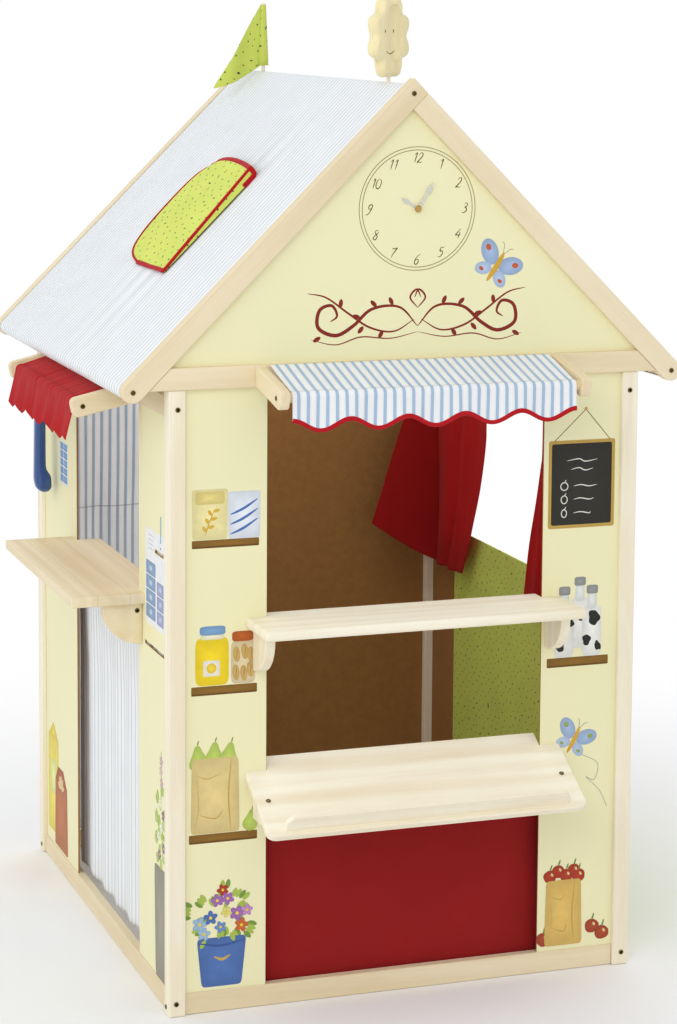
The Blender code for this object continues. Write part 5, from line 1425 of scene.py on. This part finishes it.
def left_front_goods():
    """Shelves with packets, jars and pears, and a bucket of flowers, on the panel left of the opening."""
    shapes = plank(-392, -272, 820, 834) + plank(-393, -275, 563, 579) + plank(-397, -274, 302, 318)
    shapes += [card(-391, 835, -329, 922, (238, 226, 164), 1, 0.12, 1.04),
               card(-386, 896, -334, 918, (226, 208, 130), 2),
               stroke([(-368, 842), (-362, 862), (-352, 884)], 2.0, (206, 172, 70), 3)]
    ears = [(-366 + 2.4 * k, 848 + 7 * k, 70 + 55 * (-1) ** k) for k in range(6)]
    shapes += leaves(ears, 12, (218, 178, 66), 3)
    shapes += [card(-327, 834, -270, 916, (226, 232, 240), 1, 0.12, 1.02)]
    shapes += [stroke([(-324, 842 + 17 * k), (-300, 852 + 17 * k), (-274, 868 + 17 * k)], 4.6, INK_BLUE, 2)
               for k in range(3)]
    shapes += [card(-386, 580, -326, 664, (244, 214, 40), 1, 0.3),
               card(-376, 660, -334, 672, (236, 232, 196), 1, 0.5),
               card(-378, 668, -332, 684, (122, 162, 202), 2, 0.4),
               card(-372, 596, -342, 624, (240, 236, 222), 2), blob(-357, 610, 9, 9, YELLOW, 3),
               card(-322, 580, -278, 656, (222, 206, 166), 1, 0.3),
               card(-320, 654, -282, 672, (186, 96, 44), 2, 0.4)]
    for x, z in ((-313, 600), (-299, 598), (-287, 604), (-312, 632), (-297, 636), (-286, 630)):
        shapes += [blob(x, z, 6.4, 14, (206, 172, 104), 2, 6, 16),
                   stroke([(x, z - 9), (x + 1, z + 9)], 1.6, (166, 130, 66), 3)]
    for x, z, turn in ((-380, 452, 6), (-352, 456, -4), (-326, 454, -12)):
        shapes += pear(x, z, 24, turn)
    shapes += [card(-394, 319, -306, 452, PAPER, 5, 0.12, 0.95)]
    shapes += lifted(paper_bag(-394, 319, -306, 452, PAPER), 0.3) + pear(-286, 336, 19, -8)
    shapes += [card(-374, 44, -302, 132, INK_BLUE, 2, 0.15, 1.25),
               stroke([(-382, 124), (-338, 117), (-294, 124)], 4.0, (60, 88, 150), 3),
               stroke([(-352, 98), (-337, 92), (-322, 99)], 5.0, GOLD, 3)]
    for k in range(46):
        angle = math.radians(360 * k / 46 * 7 + 11)
        far = 18 + 44 * ((k * 0.618) % 1.0)
        place = (-337 + 1.02 * far * math.cos(angle), 168 + 0.82 * far * math.sin(angle), math.degrees(angle))
        shapes += leaves([place], 17, GREEN if k % 3 else DARK_GREEN, 1)
    for x, z, size, ink in ((-336, 216, 11, RED_INK), (-346, 198, 12, VIOLET), (-327, 200, 12, VIOLET),
                            (-378, 158, 14, SKY), (-358, 168, 13, INK_BLUE), (-370, 140, 12, SKY),
                            (-310, 172, 14, VIOLET), (-292, 176, 11, (196, 140, 196)),
                            (-302, 150, 13, ORANGE), (-340, 150, 11, (110, 144, 200)),
                            (-330, 176, 10, (222, 214, 120))):
        shapes += flower(x, z, size, ink)
    return shapes


def milk_bottle(x, foot, spots, layer):
    """A white bottle with a grey lid and dark patches."""
    parts = [card(x - 19, foot, x + 19, foot + 92, WHITE_INK, layer, 0.3),
             card(x - 10, foot + 86, x + 10, foot + 120, (226, 228, 224), layer, 0.5, 0.8),
             card(x - 11, foot + 114, x + 11, foot + 130, GREY_INK, layer + 1, 0.4)]
    return parts + [blob(x + u, foot + w, a, b, DARK, layer + 1, turn, wobble=0.18)
                    for u, w, a, b, turn in spots]


def blackboard():
    """A framed board on a cord, with chalk strokes and rings."""
    shapes = [card(267, 816, 396, 975, GOLD, 0, 0.05), card(273, 822, 390, 969, (52, 50, 44), 1, 0.05),
              stroke([(278, 974), (338, 1030)], 1.4, LINE, 1, False, 6),
              stroke([(338, 1030), (386, 974)], 1.4, LINE, 1, False, 6),
              blob(338, 1031, 3, 3, GOLD, 2, count=12)]
    for z, half in ((938, 30), (922, 22)):
        words = [(332 - half, z), (326, z + 3), (338, z - 2), (332 + half, z + 1)]
        shapes.append(stroke(words, 2.0, CHALK, 2))
    ring = np.linspace(0, 2 * math.pi, 13)
    for row, z in enumerate((892, 868, 843)):
        outline = np.column_stack((298 + (7 - row) * np.cos(ring), z + 7 * np.sin(ring)))
        shapes += [stroke(outline, 1.8, CHALK, 2, False, 30),
                   stroke([(298, z + 7), (302, z + 12)], 1.6, CHALK, 2, True, 8),
                   stroke([(316, z), (330, z + 2), (346, z - 1), (362 - 6 * row, z + 1)], 2.0, CHALK, 2)]
    return shapes


def right_front_goods():
    """A blackboard, bottles on a shelf, a butterfly and a bag of apples right of the opening."""
    shapes = blackboard() + plank(269, 389, 563, 580)
    shapes += milk_bottle(332, 596, ((4, 60, 8, 12, 20),), 1)
    shapes += milk_bottle(302, 580, ((-8, 22, 9, 11, 0), (10, 66, 7, 12, 30), (-12, 74, 6, 8, 0)), 3)
    shapes += milk_bottle(356, 580, ((4, 70, 11, 14, 10), (-10, 30, 8, 10, 0), (12, 18, 6, 9, 20)), 3)
    flight = [(338, 400), (372, 380), (366, 350), (350, 356), (376, 330), (392, 298)]
    shapes += butterfly(324, 428, 58, -28, (150, 172, 84)) + [stroke(flight, 0.9, GREY_INK, 1, False, 40)]
    for x, z in ((282, 176), (298, 184), (314, 176), (329, 184), (338, 174)):
        shapes += fruit(x, z, 13, RED_INK)
    shapes += lifted(paper_bag(272, 46, 346, 168, (224, 188, 104)), 0.4)
    for x, z in ((270, 60), (366, 76), (386, 62)):
        shapes += fruit(x, z, 14, (170, 74, 48))
    return shapes


def left_wall_front():
    """A card of keys and lines round the upper slot, a pen over it and a tall potted plant."""
    shapes = [patch([(x0, z0), (x1, z0), (x1, z1), (x0, z1)], (238, 240, 240), 0, True) for x0, z0, x1, z1 in
              ((314, 660, 452, 792), (314, 792, 374, 802), (436, 792, 452, 802), (314, 802, 452, 830))]
    keys = [(350, 683 + 26 * k, 31) for k in range(4)] + [(412, 682 + 26 * k, 22) for k in range(3)]
    for x, z, half in keys:
        ink = (140, 168, 200) if x < 380 else (164, 170, 206)
        shapes += [card(x - half, z - 12, x + half, z + 12, ink, 1, 0.1),
                   blob(x, z, 0.3 * half, 5, (196, 210, 230), 2, count=12)]
    shapes += [stroke([(331, z), (350, z + 1), (372, z)], 1.4, (206, 190, 198), 1)
               for z in (795, 803, 811, 819)]
    shapes += [stroke([(416, 864), (416, 840), (415, 817)], 6, (120, 176, 204), 1, False),
               blob(415, 808, 2, 2, DARK, 1, count=10),
               card(380, 36, 454, 240, (158, 154, 138), 1, 0.18, 1.22)]
    for k in range(60):
        angle = math.radians(137.5 * k)
        far = 6 + 42 * ((k * 0.618) % 1.0)
        lift = 276 + 1.15 * far * math.sin(angle) + 26 * (k % 3)
        shapes += leaves([(417 + 0.82 * far * math.cos(angle), lift, math.degrees(angle))], 19,
                         (188, 208, 128) if k % 2 else GREEN, 2)
    for x, z, ink in ((406, 262, LILAC), (434, 280, LILAC), (418, 312, PETAL_WHITE), (400, 294, PETAL_WHITE),
                      (430, 338, (150, 120, 150)), (412, 356, PETAL_WHITE), (420, 394, ROSE),
                      (416, 414, (216, 190, 200)), (418, 432, ROSE)):
        shapes += flower(x, z, 10, ink)
    return shapes + [stroke([(416, 354), (419, 404), (417, 450)], 2.4, DARK_GREEN, 1)]


def left_wall_back():
    """A keypad beside the handset and two packets on the panel behind the counter."""
    shapes = [card(-341, 797, -270, 882, (240, 243, 243), 0, 0.06)]
    for row in range(5):
        for column in range(2):
            x, z = -321 + 30 * column, 808 + 16 * row
            shapes.append(card(x - 13, z - 7, x + 13, z + 7, (128, 162, 200), 1, 0.12))
    shapes += [card(-453, 62, -365, 262, (240, 222, 110), 1, 0.08, 0.98),
               patch([(-449, 258), (-369, 258), (-409, 290)], (232, 210, 92), 1),
               card(-433, 142, -385, 212, (230, 234, 160), 2, 0.3),
               card(-397, 42, -287, 182, (190, 122, 84), 3, 0.08, 0.9),
               patch([(-391, 178), (-295, 178), (-325, 208), (-369, 208)], (176, 106, 72), 3)]
    return shapes + leaves([(-343, 170, 90 + 40 * k) for k in range(-2, 3)], 26, (226, 200, 150), 4)


def gable_scroll():
    """A brush scroll, the same to both sides of the middle, with a butterfly over its right end."""
    right = [([(0, 1190), (34, 1224), (84, 1222), (118, 1194), (150, 1178), (182, 1192), (180, 1222),
               (158, 1230), (148, 1212), (160, 1202)], 6.5),
             ([(6, 1202), (44, 1182), (88, 1190), (128, 1216), (168, 1244), (202, 1252)], 3.6),
             ([(0, 1180), (50, 1170), (104, 1174), (150, 1162), (196, 1172)], 2.2),
             ([(0, 1222), (14, 1240), (2, 1254), (-6, 1240)], 3.4)]
    shapes = []
    for points, width in right:
        for side in (-1, 1):
            shapes.append(stroke([(15 + side * x, z) for x, z in points], width, WINE, 1, count=60))
    for x, z, turn in ((46, 1228, 64), (76, 1226, 44), (106, 1208, 12), (64, 1184, -60), (100, 1192, -50),
                       (142, 1226, 96), (178, 1176, -30)):
        for side in (-1, 1):
            shapes += leaves([(15 + side * x, z, turn if side > 0 else 180 - turn)], 15, WINE, 2)
    return shapes + butterfly(160, 1290, 66, -34, (204, 92, 52))


DIGITS = {
    "0": [[(28, 100), (6, 78), (5, 26), (28, 0), (50, 22), (51, 76), (28, 100)]],
    "1": [[(12, 80), (32, 100), (30, 50), (28, 0)]],
    "2": [[(8, 76), (18, 96), (38, 98), (48, 80), (38, 50), (4, 3), (22, 8), (40, 0), (54, 12)]],
    "3": [[(10, 86), (28, 100), (46, 86), (40, 64), (24, 55), (44, 46), (50, 22), (32, 2), (10, 2), (4, 16)]],
    "4": [[(42, 100), (20, 62), (2, 32), (30, 32), (58, 34)], [(44, 62), (40, 30), (36, 0)]],
    "5": [[(54, 100), (34, 96), (18, 96), (14, 60), (34, 62), (48, 42), (40, 12), (20, 0), (2, 10)]],
    "6": [[(52, 104), (26, 84), (6, 46), (10, 8), (30, 0), (46, 20), (40, 44), (22, 50), (10, 34)]],
    "7": [[(6, 84), (12, 98), (32, 94), (56, 100), (36, 62), (22, 30), (16, 0)]],
    "8": [[(46, 86), (28, 100), (12, 84), (20, 64), (40, 44), (46, 20), (28, 0), (8, 14), (14, 38), (34, 58),
           (48, 74), (46, 86)]],
    "9": [[(46, 70), (30, 52), (12, 64), (14, 90), (32, 100), (48, 86), (44, 50), (32, 16), (10, -6),
           (-8, 4)]],
}


def numeral(text, x, z, height):
    """Leaning numerals round a place, from paths in hundredths of their height."""
    shapes = []
    for k, digit in enumerate(text):
        for path in DIGITS[digit]:
            path = np.asarray(path) / 100 - (0.27, 0.5)
            across = (k - (len(text) - 1) / 2) * 0.50 + path[:, 0] + 0.28 * path[:, 1]
            place = np.column_stack((across, path[:, 1])) * height + (x, z)
            shapes.append(stroke(place, 0.105 * height, NUMERAL, 1, count=26))
    return shapes


def print_piece(name, wall, panel, shapes):
    """Makes one object of printed shapes on a panel's outer face, each a hair higher than the last."""
    _, outward, origin = wall
    face = max(float(np.dot(corner(panel, k) - origin, outward)) for k in (0, 1))
    points, faces = merge([(p + (0, 0, 0.002 * k) * (p[:, 2:] > 0), f) for k, (p, f, _) in enumerate(shapes)])
    world = wall_place(wall, points[:, 0] / 1000, face + points[:, 2] / 1000, points[:, 1] / 1000)
    obj = add_mesh(name, world, faces, finishes["ink"], "house", smooth=False,
                   tint=np.vstack([shape[2] for shape in shapes]))


class PLAYSHOP_OT_dial(bpy.types.Operator):
    """Prints the clock dial on the gable: two rings and twelve leaning numerals"""
    bl_idname = "playshop.dial"
    bl_label = "Clock dial"

    def execute(self, context):
        radius = 1000 * context.scene.playshop_sizes.dial_radius
        numerals = radius - 19
        place = joint_place("minute_hand")
        x, z = 1000 * (place[0] - MIDDLE_X), 1000 * place[2]
        turn = np.linspace(0, 2 * math.pi, 121)
        circle = np.column_stack((np.cos(turn), np.sin(turn)))
        shapes = [stroke((x, z) + r * circle, 1.3, (150, 136, 82), 1, False, 121)
                  for r in (radius, radius - 5.5)]
        for hour in range(1, 13):
            angle = math.radians(90 - 30 * hour)
            shapes += numeral(str(hour), x + numerals * math.cos(angle), z + numerals * math.sin(angle), 17)
        print_piece("clock_dial", FRONT_WALL, "gable_front", shapes)
        return {"FINISHED"}


class PLAYSHOP_OT_pictures(bpy.types.Operator):
    """Prints the painted goods, the plant and the scroll on the panels"""
    bl_idname = "playshop.pictures"
    bl_label = "Painted pictures"

    def execute(self, context):
        print_piece("left_goods_print", FRONT_WALL, "panel_front_left", left_front_goods())
        print_piece("right_goods_print", FRONT_WALL, "panel_front_right", right_front_goods())
        print_piece("gable_print", FRONT_WALL, "gable_front", gable_scroll())
        print_piece("counter_front_print", LEFT_WALL, "panel_left_front", left_wall_front())
        print_piece("counter_back_print", LEFT_WALL, "panel_left_back", left_wall_back())
        return {"FINISHED"}


# Screws

SCREW_PROFILE = [(1.0, 0.0), (1.0, 0.12), (0.86, 0.30), (0.52, 0.36), (0.50, 0.30), (0.42, -0.02),
                 (0.1, -0.04)]


def screw_places():
    """Screw heads as (point, direction): posts, trusses, tray props, counter bracket and awning bars."""
    front, back = MIDDLE_Y - HALF_DEPTH, MIDDLE_Y + HALF_DEPTH
    left, right = MIDDLE_X - HALF_WIDTH, MIDDLE_X + HALF_WIDTH
    places = []
    for x, inward in ((left, 1), (right, -1)):
        for y, out in ((front, -1), (back, 1)):
            places += [((x + inward * 0.016, y, POST_TOP - 0.033), (0, out, 0)),
                       ((x + inward * 0.013, y, 0.023), (0, out, 0)),
                       ((x, y - out * 0.019, 0.014), (-inward, 0, 0))]
    truss = 0.004
    for y, out in ((front - truss, -1), (back + truss, 1)):
        places += [((EAVE[0], y, EAVE[2]), (0, out, 0)), ((2 * RIDGE[0] - EAVE[0], y, EAVE[2]), (0, out, 0)),
                   ((RIDGE[0], y, RIDGE[2]), (0, out, 0))]
    places += [((MIDDLE_X + side * 0.2735, front - 0.054, 0.3868), (0, -0.34, 0.94)) for side in (-1, 1)]
    bracket = corner("counter_bracket_front", 0)
    places.append(((left - 0.001, bracket[1], 0.674), (0, -1, 0)))
    for side, sign in ((0, -1), (1, 1)):
        end = corner("awning_frame_front", side)[0]
        places.append(((end, front - FRONT_BAR[0], FRONT_BAR[1]), (sign, 0, 0)))
        end = corner("awning_frame_side", side)[1]
        places.append(((left - SIDE_BAR[0], end, SIDE_BAR[1]), (0, sign, 0)))
    return places


class PLAYSHOP_OT_screws(bpy.types.Operator):
    """Sets the bronze screw heads: one turned profile, repeated at every place"""
    bl_idname = "playshop.screws"
    bl_label = "Screw heads"

    def execute(self, context):
        radius = context.scene.playshop_sizes.screw_radius
        head, faces = lathe(SCREW_PROFILE, 14)
        points, faces = merge([(rotate_to(head * radius, direction) + np.array(place), faces)
                               for place, direction in screw_places()])
        finish = metal_finish("screw_bronze", shade(110, 98, 60), 0.38)
        obj = add_mesh("screw_heads", points, faces, finish, "house", smooth=False)
        return {"FINISHED"}


# Stage

CAMERA_PLACE = (MIDDLE_X - 1.64320, MIDDLE_Y - 4.85577, 1.74736)
CAMERA_TURN = (19.1158, 6.4268, 0.3733)
CAMERA_LENS = 95.132
CAMERA_SHIFT = -0.20


def camera_matrix():
    """Turned by yaw from +Y, then down by pitch, then rolled, in degrees."""
    yaw, pitch, roll = (math.radians(a) for a in CAMERA_TURN)
    ahead = np.array((math.sin(yaw) * math.cos(pitch), math.cos(yaw) * math.cos(pitch), -math.sin(pitch)))
    right = np.array((math.cos(yaw), -math.sin(yaw), 0.0))
    over = np.cross(right, ahead)
    turned = right * math.cos(roll) + over * math.sin(roll)
    upper = over * math.cos(roll) - right * math.sin(roll)
    matrix = Matrix(np.column_stack((turned, upper, -ahead)).tolist()).to_4x4()
    matrix.translation = CAMERA_PLACE
    return matrix


def camera_rays(tree):
    """1 for camera, glossy and transmission rays."""
    path = node(tree, "ShaderNodeLightPath").outputs
    seen = math_node(tree, "MAXIMUM", path["Is Camera Ray"], path["Is Glossy Ray"])
    return math_node(tree, "MAXIMUM", seen, path["Is Transmission Ray"])


def add_lamp(name, place, target, size, power):
    """A square soft lamp that looks at a target."""
    data = bpy.data.lights.new(name, "AREA")
    data.size = size
    data.energy = power
    lamp = bpy.data.objects.new(name, data)
    lamp.visible_camera = False
    bpy.context.scene.collection.objects.link(lamp)
    lamp.location = place
    lamp.rotation_mode = "QUATERNION"
    lamp.rotation_quaternion = (Vector(target) - Vector(place)).to_track_quat("-Z", "Y")


def make_world():
    """White for the camera, and an even pale light on the object."""
    world = bpy.data.worlds.new("studio")
    bpy.context.scene.world = world
    world.use_nodes = True
    tree = world.node_tree
    tree.nodes.clear()
    seen = node(tree, "ShaderNodeBackground", None, {"Color": (1, 1, 1, 1), "Strength": 1.0})
    lit = node(tree, "ShaderNodeBackground", None, {"Color": (0.97, 0.98, 1.0, 1), "Strength": 0.87})
    mixed = node(tree, "ShaderNodeMixShader", {0: camera_rays(tree), 1: lit.outputs[0], 2: seen.outputs[0]})
    node(tree, "ShaderNodeOutputWorld", {"Surface": mixed.outputs[0]})


def make_floor():
    """A pale disc that keeps the shadow near the object and fades to white away from it."""
    mat, tree, shader = start_material("floor", 0.9, Specular_IOR_Level=0.1)
    coords = object_place(tree)
    away = distance(tree, coords)
    final = mix_colour(tree, noise(tree, coords, 3.0, 2.0), (0.90, 0.90, 0.90), (0.92, 0.92, 0.92))
    tree.links.new(final, shader.inputs["Base Color"])
    white = node(tree, "ShaderNodeEmission", None, {"Strength": 1.0})
    share = math_node(tree, "MULTIPLY", smooth_between(tree, away, 0.8, 2.2), camera_rays(tree))
    out = tree.nodes["Material Output"]
    mixed = node(tree, "ShaderNodeMixShader", {0: share, 1: shader.outputs[0], 2: white.outputs[0]})
    tree.links.new(mixed.outputs[0], out.inputs["Surface"])
    turn = np.linspace(0, 2 * math.pi, 97)[:-1]
    ring = np.column_stack((np.cos(turn), np.sin(turn), np.zeros(96)))
    points = np.vstack([ring * r for r in (0.5, 2.0, 5.0, 14.0)])
    points[:, 2] = -0.0005
    faces = grid_faces(4, 96, close_columns=True).tolist() + [list(range(96))]
    mesh = bpy.data.meshes.new("floor")
    mesh.from_pydata(points.tolist(), [], faces)
    mesh.materials.append(mat)
    floor = bpy.data.objects.new("floor", mesh)
    bpy.context.scene.collection.objects.link(floor)


class PLAYSHOP_OT_stage(bpy.types.Operator):
    """Makes the pale floor, the white surroundings, the lamps and the camera"""
    bl_idname = "playshop.stage"
    bl_label = "Floor, light and camera"

    def execute(self, context):
        scene = context.scene
        scene.view_settings.view_transform = "Standard"
        make_world()
        make_floor()
        centre = (MIDDLE_X, MIDDLE_Y, 0.9)
        add_lamp("key", (-2.6, -4.2, 3.6), centre, 2.4, 44)
        add_lamp("left", (-4.4, -1.6, 3.2), centre, 2.6, 33)
        add_lamp("back", (1.8, 3.6, 3.2), centre, 2.4, 20)
        add_lamp("through_roof", (MIDDLE_X, MIDDLE_Y, 1.36), (MIDDLE_X, MIDDLE_Y, 0.0), 0.5, 2.4)
        data = bpy.data.cameras.new("camera")
        data.lens = CAMERA_LENS
        data.shift_y = CAMERA_SHIFT
        data.clip_end = 60
        camera = bpy.data.objects.new("camera", data)
        scene.collection.objects.link(camera)
        camera.matrix_world = camera_matrix()
        scene.camera = camera
        return {"FINISHED"}


OPERATORS = (PLAYSHOP_OT_stage, PLAYSHOP_OT_finishes, PLAYSHOP_OT_roof_cloth, PLAYSHOP_OT_roof_flap,
             PLAYSHOP_OT_front_awning, PLAYSHOP_OT_side_awning, PLAYSHOP_OT_hangings,
             PLAYSHOP_OT_stage_curtains, PLAYSHOP_OT_stage_cloth, PLAYSHOP_OT_pennant, PLAYSHOP_OT_sun,
             PLAYSHOP_OT_handset, PLAYSHOP_OT_dial, PLAYSHOP_OT_pictures, PLAYSHOP_OT_screws)


class PLAYSHOP_PT_panel(bpy.types.Panel):
    """Lists the pieces and their settings"""
    bl_label = "Play shop"
    bl_idname = "PLAYSHOP_PT_panel"
    bl_space_type = "VIEW_3D"
    bl_region_type = "UI"
    bl_category = "Play shop"

    def draw(self, context):
        for operator in OPERATORS:
            self.layout.operator(operator.bl_idname)
        for settings in (context.scene.playshop_colours, context.scene.playshop_sizes):
            for name in settings.__annotations__:
                self.layout.prop(settings, name)


CLASSES = (ShopColours, ShopSizes, *OPERATORS, PLAYSHOP_PT_panel)


def register():
    """Makes the settings, operators and panel known to Blender."""
    for item in CLASSES:
        bpy.utils.register_class(item)
    bpy.types.Scene.playshop_colours = bpy.props.PointerProperty(type=ShopColours)
    bpy.types.Scene.playshop_sizes = bpy.props.PointerProperty(type=ShopSizes)


def unregister():
    """Takes them away again."""
    del bpy.types.Scene.playshop_sizes
    del bpy.types.Scene.playshop_colours
    for item in reversed(CLASSES):
        bpy.utils.unregister_class(item)


def main():
    """Makes every piece in order."""
    register()
    for operator in OPERATORS:
        group, name = operator.bl_idname.split(".")
        getattr(getattr(bpy.ops, group), name)()


if __name__ == "__main__":
    main()
